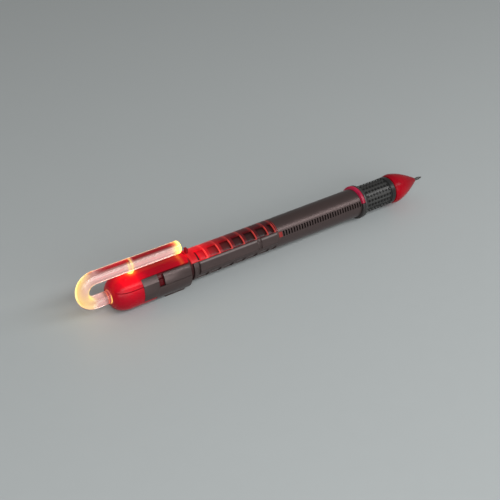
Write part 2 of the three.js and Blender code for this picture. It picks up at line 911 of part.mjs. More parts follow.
// The cone's outside: a short swell, then an ogive down to the mouth
function noseRadiusAt(run) {
  if (run < noseWaistStation) {
    const share = run / noseWaistStation;
    return noseBaseRadius + (noseWaistRadius - noseBaseRadius) * Math.sin(share * Math.PI / 2);
  }
  const share = (run - noseWaistStation) / (noseLength - noseWaistStation);
  const straight = 1 - share;
  const bowed = Math.cos(share * Math.PI / 2);
  const blend = noseFullness * straight + (1 - noseFullness) * bowed;
  return noseEndRadius + (noseWaistRadius - noseEndRadius) * blend;
}

function addNoseCone() {
  const mouth = noseEnd - noseMouth;
  const profile = [
    [noseStart - spigotLength, spigotRadius - spigotWall],
    [noseStart - spigotLength, spigotRadius],
    [noseStart, spigotRadius],
  ];
  for (const run of [0, noseWaistStation / 2, noseWaistStation]) {
    profile.push([noseStart + run, noseRadiusAt(run)]);
  }
  for (let i = 1; i <= noseSteps; i += 1) {
    const run = noseWaistStation + (noseLength - noseWaistStation) * i / noseSteps;
    profile.push([noseStart + run, noseRadiusAt(run)]);
  }
  profile.push(
    [noseEnd, noseBore / 2],
    [mouth, noseBore / 2],
    [noseStart, spigotRadius - spigotWall],
    [noseStart - spigotLength, spigotRadius - spigotWall],
  );
  add('nose_cone', turned(profile), redAcrylic);
}

function addSeal() {
  const seal = tube(sealStart, sealStart + sealThickness, socketRadius, sealRadius, smallFacets);
  add('seal_ring', seal, blackRubber);
}

function addRefill() {
  const pointStart = noseEnd - pointBack;
  const pointEnd = tipEnd - ballDiameter - faceGap;
  const taperEnd = pointStart + pointShoulder + pointTaper;
  const point = turned([
    [pointStart, 0],
    [pointStart, pointShoulderDiameter / 2],
    [pointStart + pointShoulder, pointShoulderDiameter / 2],
    [taperEnd, pointDiameter / 2],
    [pointEnd - pointNeck, pointDiameter / 2],
    [pointEnd, ballDiameter / 2 + faceGap],
    [pointEnd, 0],
  ], smallFacets);
  add('refill_point', point, steel);

  const ball = new THREE.SphereGeometry(ballDiameter / 2, 8, 6);
  ball.rotateZ(-Math.PI / 2);
  ball.translate(tipEnd - ballDiameter / 2, 0, 0);
  add('refill_ball', solid(ball), steel);

  const tubeEnd = pointStart - faceGap;
  add('refill_tube', rod(tubeEnd - refillLength, tubeEnd, refillDiameter / 2, smallFacets), inkTube);
  const plugEnd = tubeEnd - refillLength - faceGap;
  add('refill_plug', rod(plugEnd - plugLength, plugEnd, refillDiameter / 2, smallFacets), blackRubber);
}

addClip();
addHousing();
addSideCover('side_cover_near', near);
addSideCover('side_cover_far', far);
addSwitch();
addBatteryDoor();
addCells();
addContacts();
addElectronics();
addNeck();
addBarrel();
addLightCover();
addLightTube();
addRing();
addBush();
addGrip();
addSeal();
addNoseCone();
addRefill();

export default pen;
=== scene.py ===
"""Light-up novelty ball pen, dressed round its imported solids.

Stations are millimetres along the pen from the flat on the lamp housing's dome, towards the
writing tip. Angles in a cross-section start at the switch side's horizontal and go up over the
clip side: 0 is the switch side, 90 the top, 180 the far side and 270 the underside.
"""
import logging
import math
from dataclasses import dataclass
from enum import Enum
from functools import cache

import bpy
import bmesh
import numpy as np
from mathutils import Matrix, Vector


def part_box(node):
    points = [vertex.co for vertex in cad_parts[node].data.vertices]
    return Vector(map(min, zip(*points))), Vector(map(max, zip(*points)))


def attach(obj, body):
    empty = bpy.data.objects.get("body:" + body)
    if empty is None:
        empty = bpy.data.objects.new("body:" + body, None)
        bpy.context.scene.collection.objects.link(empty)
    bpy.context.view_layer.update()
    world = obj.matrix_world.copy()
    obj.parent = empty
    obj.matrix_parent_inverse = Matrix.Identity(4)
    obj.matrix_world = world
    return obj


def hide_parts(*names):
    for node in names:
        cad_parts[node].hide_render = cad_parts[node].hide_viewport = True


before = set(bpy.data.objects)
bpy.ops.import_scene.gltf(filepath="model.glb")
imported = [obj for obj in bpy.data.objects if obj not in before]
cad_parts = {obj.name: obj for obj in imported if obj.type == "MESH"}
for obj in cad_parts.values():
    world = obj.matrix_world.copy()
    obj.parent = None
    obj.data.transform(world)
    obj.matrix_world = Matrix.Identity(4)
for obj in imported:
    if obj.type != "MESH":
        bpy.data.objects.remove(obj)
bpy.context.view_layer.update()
log = logging.getLogger("spy_pen")

MM = 0.001
BARREL_START = 30.5
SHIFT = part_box("barrel")[0].x / MM - BARREL_START
TEXTURE_SCALE = 1000.0
WELD_DISTANCE = 1e-4
BEVEL_FROM_ANGLE = 30.0
BLACK = (0.0, 0.0, 0.0, 1.0)

Triple = tuple[float, float, float]
Profile = list[tuple[float, float]]
Array = np.ndarray
Numbers = float | Array
Surface = tuple[Array, Array]
Socket = bpy.types.NodeSocket
Tree = bpy.types.NodeTree


class Body(Enum):
    """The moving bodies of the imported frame."""

    PEN = "pen"
    SWITCH = "switch"
    REFILL = "refill"
    NOSE = "nose"


class Slot(Enum):
    """Material slots of the record."""

    CLEAR = "clear_acrylic"
    RED = "red_acrylic"
    GUNMETAL = "gunmetal"
    GRIP = "dark_grip"
    RUBBER = "black_rubber"
    TUBE = "smoked_tube"
    STEEL = "steel"
    BRASS = "brass"
    BOARD = "board"
    LAMP = "red_lamp"
    INK = "ink_tube"


# Shader nodes


@dataclass(frozen=True)
class Nodes:
    """Adds nodes to one shader tree. An input takes another node's output or a plain value."""

    tree: Tree

    def feed(self, socket: Socket, value: object) -> None:
        """Links an input to another node's output, or gives it a plain value.

        Args:
            socket: the input.
            value: the output or the plain value.
        """
        if isinstance(value, Socket):
            self.tree.links.new(value, socket)
        else:
            socket.default_value = value

    def add(self, kind: str, group: Tree | None = None, **inputs: object) -> bpy.types.Node:
        """Adds a node and sets its inputs.

        Args:
            kind: the node's type, without the word Shader in front.
            group: the group it places, if it is a group node.
            inputs: values by input name, underscores standing for spaces.

        Returns:
            The new node.
        """
        node = self.tree.nodes.new("Shader" + kind)
        if group:
            node.node_tree = group
        for label, value in inputs.items():
            self.feed(node.inputs[label.replace("_", " ")], value)
        return node

    def math(self, operation: str, *values: object) -> Socket:
        """Adds a Math node.

        Args:
            operation: what it works out.
            values: its inputs.

        Returns:
            The result's socket.
        """
        node = self.add("NodeMath")
        node.operation = operation
        for socket, value in zip(node.inputs, values):
            self.feed(socket, value)
        return node.outputs[0]

    def mix(self, share: object, first: object, second: object, blend: str = "MIX") -> Socket:
        """Adds a Mix node, whose colour sockets are inputs 6 and 7 and output 2.

        Args:
            share: 0 for the first colour and 1 for the second.
            first: the first colour, of four numbers.
            second: the second colour.
            blend: the node's blend type.

        Returns:
            The mixed colour's socket.
        """
        node = self.add("NodeMix")
        node.data_type = "RGBA"
        node.blend_type = blend
        for number, value in ((0, share), (6, first), (7, second)):
            self.feed(node.inputs[number], value)
        return node.outputs[2]

    def vector(self, operation: str, first: object, second: object) -> bpy.types.Node:
        """Adds a Vector Math node.

        Args:
            operation: what it works out.
            first: its first input.
            second: its second vector, or the number that a vector is scaled by.

        Returns:
            The node.
        """
        node = self.add("NodeVectorMath")
        node.operation = operation
        self.feed(node.inputs[0], first)
        self.feed(node.inputs["Scale" if operation == "SCALE" else 1], second)
        return node

    def noise(self, vector: Socket, scale: object, detail: float = 2.0) -> Socket:
        """Adds a Noise Texture node and returns its value."""
        return self.add("NodeTexNoise", Vector=vector, Scale=scale, Detail=detail).outputs[0]

    def swing(self, wave: Socket, amount: Socket) -> Socket:
        """How far a noise is from its middle, times an amount."""
        return self.math("MULTIPLY", self.math("SUBTRACT", wave, 0.5), amount)

    def attribute(self, name: str) -> Socket:
        """Reads a number that the mesh keeps for each point.

        Args:
            name: the attribute's name.

        Returns:
            The number's socket.
        """
        node = self.add("NodeAttribute")
        node.attribute_name = name
        return node.outputs["Fac"]


def new_group(name: str, inputs: dict[str, object], outputs: dict[str, str]) -> Tree:
    """Makes an empty shader group with named sockets.

    Args:
        name: the group's name.
        inputs: socket name to its default: a number, a vector of three or a colour of four.
        outputs: socket name to its type.

    Returns:
        The node tree, with its two group nodes already placed.
    """
    tree = bpy.data.node_groups.new(name, "ShaderNodeTree")
    for label, value in inputs.items():
        size = 1 if isinstance(value, float) else len(value)
        kind = {1: "NodeSocketFloat", 3: "NodeSocketVector", 4: "NodeSocketColor"}[size]
        socket = tree.interface.new_socket(name=label, in_out="INPUT", socket_type=kind)
        socket.default_value = value
    for label, kind in outputs.items():
        tree.interface.new_socket(name=label, in_out="OUTPUT", socket_type=kind)
    tree.nodes.new("NodeGroupInput").name = "in"
    tree.nodes.new("NodeGroupOutput").name = "out"
    return tree


def build_grain_group() -> Tree:
    """Fine moulded or lacquered grain: a slow tint drift and a fine speckle.

    The colour is scaled by 1 + 2 drift (slow - 0.5) + drift (fine - 0.5).

    Returns:
        Group with a tinted colour, a roughness and a height.
    """
    tree = new_group("surface_grain", {
        "Vector": (0.0, 0.0, 0.0),
        "Colour": (0.5, 0.5, 0.5, 1.0),
        "Drift": 0.1,
        "Grain Size": 4.0,
        "Roughness": 0.4,
        "Spread": 0.08,
    }, {"Colour": "NodeSocketColor", "Roughness": "NodeSocketFloat", "Height": "NodeSocketFloat"})
    nodes = Nodes(tree)
    source, sink = tree.nodes["in"].outputs, tree.nodes["out"].inputs
    slow = nodes.noise(source["Vector"], 0.16 * TEXTURE_SCALE, 3.0)
    scale = nodes.math("MULTIPLY", source["Grain Size"], TEXTURE_SCALE)
    fine = nodes.noise(source["Vector"], scale)
    twice = nodes.math("MULTIPLY", nodes.swing(slow, source["Drift"]), 2.0)
    both = nodes.math("ADD", twice, nodes.swing(fine, source["Drift"]))
    factor = nodes.math("ADD", both, 1.0)
    nodes.feed(sink["Colour"], nodes.vector("SCALE", source["Colour"], factor).outputs[0])
    spread = nodes.swing(slow, source["Spread"])
    nodes.feed(sink["Roughness"], nodes.math("ADD", source["Roughness"], spread))
    nodes.feed(sink["Height"], fine)
    return tree


def build_glow_group() -> Tree:
    """Light that a lamp inside sends through tinted plastic.

    At a distance d from the lamp the share is 1 / (1 + (d / reach)^2). It mixes the near colour
    into the far one, and the mixed colour is scaled by the share once more, lightly mottled.

    Returns:
        Group with the glow colour.
    """
    tree = new_group("lamp_glow", {
        "Vector": (0.0, 0.0, 0.0),
        "Lamp": (0.0, 0.0, 0.0),
        "Reach": 0.01,
        "Near Colour": (1.0, 0.2, 0.1, 1.0),
        "Far Colour": (0.2, 0.0, 0.01, 1.0),
    }, {"Colour": "NodeSocketColor"})
    nodes = Nodes(tree)
    source, sink = tree.nodes["in"].outputs, tree.nodes["out"].inputs
    distance = nodes.vector("DISTANCE", source["Vector"], source["Lamp"]).outputs["Value"]
    ratio = nodes.math("DIVIDE", distance, source["Reach"])
    square = nodes.math("MULTIPLY", ratio, ratio)
    share = nodes.math("DIVIDE", 1.0, nodes.math("ADD", square, 1.0))
    mottle = nodes.math("ADD", nodes.noise(source["Vector"], 0.35 * TEXTURE_SCALE), 0.5)
    mixed = nodes.mix(share, source["Far Colour"], source["Near Colour"])
    strength = nodes.math("MULTIPLY", share, mottle)
    nodes.feed(sink["Colour"], nodes.vector("SCALE", mixed, strength).outputs[0])
    return tree


GRAIN = build_grain_group()
GLOW = build_glow_group()


# Finishes


@dataclass(frozen=True)
class Lamp:
    """A lamp inside the pen: its station, side and height, how far its light reaches, and the
    light's linear colours close by and far off."""

    place: Triple
    reach: float
    near: Triple
    far: Triple = (0.0, 0.0, 0.0)


@dataclass(frozen=True)
class Finish:
    """Moulded plastic or metal with fine grain, lit from inside by any lamps.

    Colours are linear. The edge attribute marks points that let guided light out. Each patch is an
    attribute and the colour of the points it marks, where no lamp shines through.
    """

    name: str
    slot: Slot | None
    colour: Triple
    roughness: float
    metallic: float = 0.0
    coat: float = 0.0
    specular: float = 0.5
    drift: float = 0.12
    grain: float = 4.0
    spread: float = 0.12
    bump: float = 0.02
    bump_strength: float = 0.25
    lamps: tuple[Lamp, ...] = ()
    edge_colour: Triple | None = None
    patches: tuple[tuple[str, Triple], ...] = ()

    def start(self) -> tuple[bpy.types.Material, Nodes, object, Socket, Socket]:
        """Makes the material with its grain: what becomes of the colour is left to the caller.

        Returns:
            The material, its nodes, its shader's inputs, object coordinates and the grained colour.
        """
        material = bpy.data.materials.new(self.name)
        material.use_nodes = True
        nodes = Nodes(material.node_tree)
        shader = material.node_tree.nodes["Principled BSDF"].inputs
        shader["Metallic"].default_value = self.metallic
        place = nodes.add("NodeTexCoord").outputs["Object"]
        grain = nodes.add("NodeGroup", GRAIN, Vector=place, Colour=(*self.colour, 1.0),
                          Drift=self.drift, Grain_Size=self.grain, Roughness=self.roughness,
                          Spread=self.spread).outputs
        nodes.feed(shader["Roughness"], grain["Roughness"])
        bump = nodes.add("NodeBump", Strength=self.bump_strength, Distance=self.bump * MM,
                         Height=grain["Height"])
        nodes.feed(shader["Normal"], bump.outputs[0])
        return material, nodes, shader, place, grain["Colour"]

    @cache
    def build(self) -> bpy.types.Material:
        """Makes the material the first time, and hands over the same one after that.

        Returns:
            The material.
        """
        material, nodes, shader, place, colour = self.start()
        shader["Coat Weight"].default_value = self.coat
        shader["Coat Roughness"].default_value = 0.08
        shader["Specular IOR Level"].default_value = self.specular
        for label, patch_colour in self.patches:
            colour = nodes.mix(nodes.attribute(label), colour, (*patch_colour, 1.0))
        nodes.feed(shader["Base Color"], colour)
        if self.lamps:
            light = self.light(nodes, place)
            for label, _ in self.patches:
                light = nodes.mix(nodes.attribute(label), light, BLACK)
            nodes.feed(shader["Emission Color"], light)
            shader["Emission Strength"].default_value = 1.0
        return material

    def light(self, nodes: Nodes, place: Socket) -> Socket:
        """Adds up the light of every lamp, and of the bright edges.

        Args:
            nodes: the material's nodes.
            place: object coordinates.

        Returns:
            The light's colour.
        """
        total = None
        for lamp in self.lamps:
            station, side, height = lamp.place
            centre = ((station + SHIFT) * MM, side * MM, height * MM)
            glow = nodes.add("NodeGroup", GLOW, Vector=place, Lamp=centre, Reach=lamp.reach * MM,
                             Near_Colour=(*lamp.near, 1.0), Far_Colour=(*lamp.far, 1.0)).outputs[0]
            total = glow if total is None else nodes.mix(1.0, total, glow, "ADD")
        if self.edge_colour:
            edge = nodes.mix(nodes.attribute("edge"), BLACK, (*self.edge_colour, 1.0))
            total = nodes.mix(1.0, total, edge, "ADD")
        return total


@dataclass(frozen=True)
class ClearFinish(Finish):
    """Clear acrylic that carries lamp light and lets it out where the glow attribute says so, with
    a painted refraction of the housing's red along a marked stripe."""

    warm_colour: Triple = (1.0, 0.72, 0.12)
    stripe_colour: Triple = (0.5, 0.001, 0.006)

    @cache
    def build(self) -> bpy.types.Material:
        """Makes the material.

        Returns:
            The material.
        """
        material, nodes, shader, _, colour = self.start()
        shader["Transmission Weight"].default_value = 1.0
        shader["IOR"].default_value = 1.49
        # Painted refraction: the housing's red is mixed into the base colour along the marked
        # stripe.
        stripe, glow = nodes.attribute("stripe"), nodes.attribute("glow")
        warmed = nodes.mix(glow, colour, (*self.warm_colour, 1.0))
        nodes.feed(shader["Base Color"], nodes.mix(stripe, warmed, (*self.stripe_colour, 1.0)))
        warm = nodes.add("NodeValToRGB")
        stops = warm.color_ramp.elements
        stops[0].position, stops[0].color = 0.0, BLACK
        stops[1].position, stops[1].color = 1.0, (1.0, 0.86, 0.22, 1.0)
        for position, light in ((0.07, (0.20, 0.07, 0.065, 1.0)), (0.3, (0.5, 0.36, 0.06, 1.0)),
                                (0.7, (1.0, 0.78, 0.16, 1.0))):
            stops.new(position).color = light
        nodes.feed(warm.inputs[0], glow)
        nodes.feed(shader["Emission Color"], warm.outputs[0])
        shader["Emission Strength"].default_value = 1.0
        return material


CLEAR = ClearFinish("lit_clear_acrylic", Slot.CLEAR, (0.98, 0.88, 0.86), 0.04, drift=0.05,
                    grain=1.2, spread=0.05, bump=0.01, bump_strength=0.15)
# Satin gunmetal. Its first patch is a painted highlight along the rails' upper edges.
GUNMETAL = Finish("satin_gunmetal", Slot.GUNMETAL, (0.075, 0.052, 0.05), 0.34, metallic=0.6,
                  grain=6.0,
                  # The second patch is painted shade on the barrel's inner wall.
                  patches=(("worn", (0.23, 0.19, 0.185)), ("deep", (0.004, 0.002, 0.002))))
# Lit red acrylic. Its dark patch is painted shade under the side covers and towards the underside,
# and the dark of the seam's groove; it also keeps the lamps' light off those places.
HOUSING_RED = Finish("lit_red_acrylic", Slot.RED, (0.23, 0.0015, 0.009), 0.22, specular=0.16,
                     drift=0.1, grain=1.0, edge_colour=(1.0, 0.45, 0.05),
                     patches=(("dark", (0.022, 0.003, 0.004)),),
                     lamps=(Lamp((6.4, -2.2, 11.6), 4.0, (1.6, 0.003, 0.005), (0.25, 0.0, 0.012)),
                            Lamp((31.0, 0.0, 10.0), 5.0, (1.2, 0.004, 0.006), (0.12, 0.0, 0.004))))
# Its dark patch is painted shade, laid on the lug, and keeps the lamp's light off it.
COVER_RED = Finish("window_red_acrylic", Slot.RED, (0.046, 0.006, 0.008), 0.3, specular=0.22,
                   grain=1.0, edge_colour=(1.0, 0.1, 0.08),
                   patches=(("dark", (0.06, 0.001, 0.004)),),
                   lamps=(Lamp((34.0, 0.0, 8.0), 8.0, (1.25, 0.002, 0.012), (0.06, 0.0, 0.002)),))
NOSE_RED = Finish("nose_red_acrylic", Slot.RED, (0.2, 0.0015, 0.008), 0.24, specular=0.1, drift=0.1,
                  grain=1.2,
                  lamps=(Lamp((127.0, -3.0, 8.0), 6.0, (0.2, 0.0, 0.002), (0.04, 0.0, 0.0)),))
RING_RED = Finish("ring_crimson", Slot.RED, (0.27, 0.005, 0.026), 0.35, specular=0.4, drift=0.1,
                  grain=2.0, lamps=(Lamp((106.0, 0.0, 12.0), 8.0, (0.15, 0.002, 0.02)),))
RING_BLACK = Finish("ring_black", Slot.RUBBER, (0.033, 0.029, 0.028), 0.34, metallic=0.3)
SEAL_RUBBER = Finish("black_rubber", Slot.RUBBER, (0.02, 0.019, 0.018), 0.6, drift=0.2, grain=3.0)
NECK_RUBBER = Finish("neck_rubber", Slot.RUBBER, (0.02, 0.006, 0.006), 0.55, specular=0.2,
                     drift=0.2, grain=3.0,
                     lamps=(Lamp((30.0, -1.0, 12.0), 1.8, (0.9, 0.001, 0.01),
                                 (0.045, 0.0, 0.003)),))
# Its patch makes the studs and the lip before the seal darker.
GRIP_PLASTIC = Finish("satin_grip", Slot.GRIP, (0.068, 0.068, 0.066), 0.36, metallic=0.5, grain=5.0,
                      patches=(("stud", (0.018, 0.018, 0.018)),))
# Its patch is painted shade on the tube behind the slots, where the lamp's light is kept off too.
SMOKED = Finish("smoked_plastic", Slot.TUBE, (0.027, 0.011, 0.011), 0.3, specular=0.25, drift=0.2,
                grain=2.0, lamps=(Lamp((34.0, -1.0, 8.0), 5.5, (1.2, 0.002, 0.018)),),
                patches=(("behind_slots", (0.003, 0.001, 0.001)),))
POINT_METAL = Finish("point_metal", Slot.STEEL, (0.12, 0.115, 0.11), 0.3, metallic=1.0, drift=0.1,
                     grain=3.0)
TABLE = Finish("pale_table", None, (0.48, 0.515, 0.52), 0.5, drift=0.01, grain=0.02, bump=0.0)
BRIGHT_STEEL = Finish("bright_steel", Slot.STEEL, (0.42, 0.42, 0.43), 0.25, metallic=1.0, drift=0.1,
                      grain=3.0)
TURNED_BRASS = Finish("turned_brass", Slot.BRASS, (0.55, 0.4, 0.16), 0.3, metallic=1.0, drift=0.1,
                      grain=3.0)
GREEN_BOARD = Finish("green_board", Slot.BOARD, (0.02, 0.1, 0.035), 0.5, drift=0.3, grain=1.5)
LAMP_LENS = Finish("lamp_lens", Slot.LAMP, (0.5, 0.01, 0.01), 0.15, coat=1.0,
                   lamps=(Lamp((18.0, 0.0, 7.0), 30.0, (2.0, 0.3, 0.15), (1.0, 0.1, 0.05)),))
INK_PLASTIC = Finish("ink_tube_plastic", Slot.INK, (0.6, 0.62, 0.66), 0.25, drift=0.05)
PLUG_RUBBER = Finish("plug_rubber", Slot.RUBBER, (0.02, 0.02, 0.02), 0.7, drift=0.2)


# Surfaces


@dataclass(frozen=True)
class Line:
    """A centre line of the pen: its height over the foot in millimetres, and how far the section is
    turned about it, from the top towards the far side, in degrees."""

    height: float
    turn: float = 0.0

    def place(self, points: Array) -> Array:
        """Moves points from the pen's own axes into the frame.

        Args:
            points: points in millimetres.

        Returns:
            The moved points.
        """
        a = math.radians(self.turn)
        x, y, z = points.T
        return np.stack([x + SHIFT, y * math.cos(a) + z * math.sin(a),
                         -y * math.sin(a) + z * math.cos(a) + self.height], axis=1)


HOUSING_LINE = Line(6.4)
BARREL_LINE = Line(7.0)
TURNED_LINE = Line(7.0, 21.0)


def fill_lines(marks: list[float], step: float) -> Array:
    """Sorted grid lines: the given marks, and evenly spaced lines between them.

    Args:
        marks: lines that have to be there.
        step: the widest spacing.

    Returns:
        The lines in rising order.
    """
    marks = sorted(set(round(m, 5) for m in marks))
    parts = []
    for a, b in zip(marks, marks[1:]):
        count = max(1, math.ceil((b - a) / step))
        parts.append(np.linspace(a, b, count + 1)[:-1])
    return np.concatenate([*parts, [marks[-1]]])


def polar(stations: Array, angles: Array, radii: Numbers) -> Array:
    """Points from stations, angles in degrees and radii: y = -r cos a and z = r sin a."""
    turn = np.radians(angles)
    y, z = -radii * np.cos(turn), radii * np.sin(turn)
    return np.stack(np.broadcast_arrays(stations, y, z), axis=-1)


def folded(angles: Array) -> Array:
    """Angles of the far side mirrored onto the switch side."""
    return np.where(angles > 90, 180 - angles, angles)


def cell_corners(ids: Array) -> Array:
    """The four corners of each cell in a grid of point numbers."""
    return np.stack([ids[:-1, :-1], ids[1:, :-1], ids[1:, 1:], ids[:-1, 1:]], axis=-1)


def tube_faces(rows: int, columns: int, closed: bool = False, capped: bool = False) -> list:
    """Faces of a grid of points whose last column joins its first.

    Args:
        rows: how many rows the grid has.
        columns: how many columns it has.
        closed: whether the last row joins the first too.
        capped: whether a face closes the first row, and another the last.

    Returns:
        Lists of point numbers.
    """
    ids = np.arange(rows * columns).reshape(rows, columns)
    wrapped = np.hstack([ids, ids[:, :1]])
    if closed:
        wrapped = np.vstack([wrapped, wrapped[:1]])
    faces = cell_corners(wrapped).reshape(-1, 4).tolist()
    return faces + [ids[0].tolist(), ids[-1][::-1].tolist()] if capped else faces


def walled_shell(outer: Array, inner: Array, keep: Array, wrap: bool) -> Surface:
    """A closed wall between two grids of points, with openings.

    Every kept cell gives an outer and an inner quad, and a wall closes each edge between a kept
    cell and an open one, or the grid's rim.

    Args:
        outer: outside points, rows along the pen and columns round it.
        inner: inside points of the same shape.
        keep: which cells stand, one fewer than the rows, and than the columns unless wrapped.
        wrap: whether the last column joins the first.

    Returns:
        Points and quads.
    """
    rows, cols = outer.shape[:2]
    below = rows * cols
    ids = np.arange(below).reshape(rows, cols)
    rim = np.zeros((len(keep), 1), bool)
    wide = np.hstack([rim, keep, rim])
    if wrap:
        ids = np.hstack([ids, ids[:, :1]])
        wide = np.hstack([keep[:, -1:], keep, keep[:, :1]])
    quads = cell_corners(ids)[keep]
    blank = np.zeros((1, keep.shape[1]), bool)
    tall = np.vstack([blank, keep, blank])
    across = tall[1:] != tall[:-1]
    along = wide[:, 1:] != wide[:, :-1]
    if wrap:
        along[:, -1] = False
    faces = [quads, quads[:, ::-1] + below]
    for a, b in ((ids[:, :-1][across], ids[:, 1:][across]), (ids[:-1][along], ids[1:][along])):
        faces.append(np.stack([a, b, b + below, a + below], axis=-1))
    return np.concatenate([outer.reshape(-1, 3), inner.reshape(-1, 3)]), np.concatenate(faces)


def polar_shell(x: Array, angles: Array, outer: Numbers, inner: Numbers,
                keep: Array | None = None, wrap: bool = False) -> Surface:
    """A closed wall between two radii, on a grid of stations and angles.

    Args:
        x: the stations.
        angles: the angles, in degrees.
        outer: outside radius, one number or one for each grid point.
        inner: inside radius, the same.
        keep: which cells stand, or None for all.
        wrap: whether the last column joins the first.

    Returns:
        Points and quads.
    """
    if keep is None:
        keep = np.ones((len(x) - 1, len(angles) - (not wrap)), bool)
    grid = x[:, None], angles[None, :]
    return walled_shell(polar(*grid, outer), polar(*grid, inner), keep, wrap)


def outside_only(share: Array) -> Array:
    """Numbers for a shell's points: the given ones on its outer grid, and 0 on its inner grid."""
    return np.concatenate([share.reshape(-1), np.zeros(share.size)])


def prism(section: Array, start: float, end: float) -> tuple[Array, list]:
    """A section carried straight along the pen, with both ends closed.

    Args:
        section: points of y and z, in order.
        start: station of its rear end.
        end: station of its front end.

    Returns:
        Points and faces.
    """
    ends = [np.insert(section, 0, station, axis=1) for station in (start, end)]
    return np.concatenate(ends), tube_faces(2, len(section), capped=True)


def revolve(profile: Profile, segments: int = 96, closed: bool = False) -> Surface:
    """Surface of revolution: a profile swept through a full turn.

    Args:
        profile: station and radius of each profile point.
        segments: how many columns go round.
        closed: whether the last profile point joins the first.

    Returns:
        Points and quads.
    """
    line = np.array(profile)
    angles = np.linspace(0, 360, segments, endpoint=False)
    points = polar(line[:, :1], angles[None, :], line[:, 1:2])
    return points.reshape(-1, 3), tube_faces(len(line), segments, closed)


def rounded(profile: Profile, radius: float) -> Profile:
    """Rounds each corner of an open profile.

    A corner c gives way to three pieces of the curve (1-t)^2 a + 2t(1-t) c + t^2 b between points a
    and b on its two sides, each a radius, or under half a side, away from it.

    Args:
        profile: the profile's points.
        radius: how far from the corner the curve starts.

    Returns:
        The rounded profile.
    """
    line = [np.array(p, float) for p in profile]
    out = [line[0]]
    for before, corner, after in zip(line, line[1:], line[2:]):
        near = [corner + side * min(0.45, radius / max(np.linalg.norm(side), 1e-9))
                for side in (before - corner, after - corner)]
        for t in np.linspace(0, 1, 4):
            out.append((1 - t) ** 2 * near[0] + 2 * t * (1 - t) * corner + t * t * near[1])
    out.append(line[-1])
    return [(float(p[0]), float(p[1])) for p in out]


# Pieces


def make_piece(name: str, line: Line, points: Array, faces: object, finish: Finish, *nodes: str,
               body: Body = Body.PEN, bevel: float = 0.0, sharp: float = 38.0,
               **values: object) -> None:
    """Turns points in millimetres into a finished piece that rides on a body.

    Args:
        name: the piece's name.
        line: the centre line its points are measured from.
        points: points in the pen's own axes, in millimetres.
        faces: lists of point numbers.
        finish: its material and slot.
        nodes: the solids it stands for.
        body: what it rides on.
        bevel: width of a rounded edge in millimetres, or 0.
        sharp: edges steeper than this many degrees shade as edges.
        values: one number, or one for each point, by attribute name.
    """
    mesh = bpy.data.meshes.new(name)
    faces = faces.tolist() if isinstance(faces, Array) else faces
    mesh.from_pydata(line.place(points).tolist(), [], faces)
    for label, numbers in values.items():
        numbers = np.ascontiguousarray(np.broadcast_to(numbers, len(points)), np.float32)
        mesh.attributes.new(label, "FLOAT", "POINT").data.foreach_set("value", numbers)
    work = bmesh.new()
    work.from_mesh(mesh)
    bmesh.ops.remove_doubles(work, verts=work.verts, dist=WELD_DISTANCE)
    bmesh.ops.delete(work, geom=[v for v in work.verts if not v.link_faces], context="VERTS")
    bmesh.ops.recalc_face_normals(work, faces=work.faces)
    if bevel:
        steepest = math.radians(BEVEL_FROM_ANGLE)
        edges = [e for e in work.edges if len(e.link_faces) == 2 and e.calc_face_angle() > steepest]
        bmesh.ops.bevel(work, geom=edges, offset=bevel, offset_type="OFFSET", segments=2,
                        profile=0.6, affect="EDGES", clamp_overlap=True)
    work.to_mesh(mesh)
    work.free()
    mesh.transform(Matrix.Scale(MM, 4))
    mesh.shade_smooth()
    mesh.set_sharp_from_angle(angle=math.radians(sharp))
    piece = bpy.data.objects.new(name, mesh)
    bpy.context.scene.collection.objects.link(piece)
    mesh.materials.append(finish.build())
    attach(piece, body.value)
    if nodes:
        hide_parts(*nodes)
    log.info("%s: %d faces on %s", name, len(mesh.polygons), body.value)


def dress(finish: Finish, *nodes: str) -> None:
    """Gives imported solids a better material.

    Args:
        finish: the material.
        nodes: the solids' names.
    """
    for node in nodes:
        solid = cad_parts[node]
        solid.data.materials.clear()
        solid.data.materials.append(finish.build())
        log.info("%s: dressed with %s", node, finish.name)


# Sub-assemblies


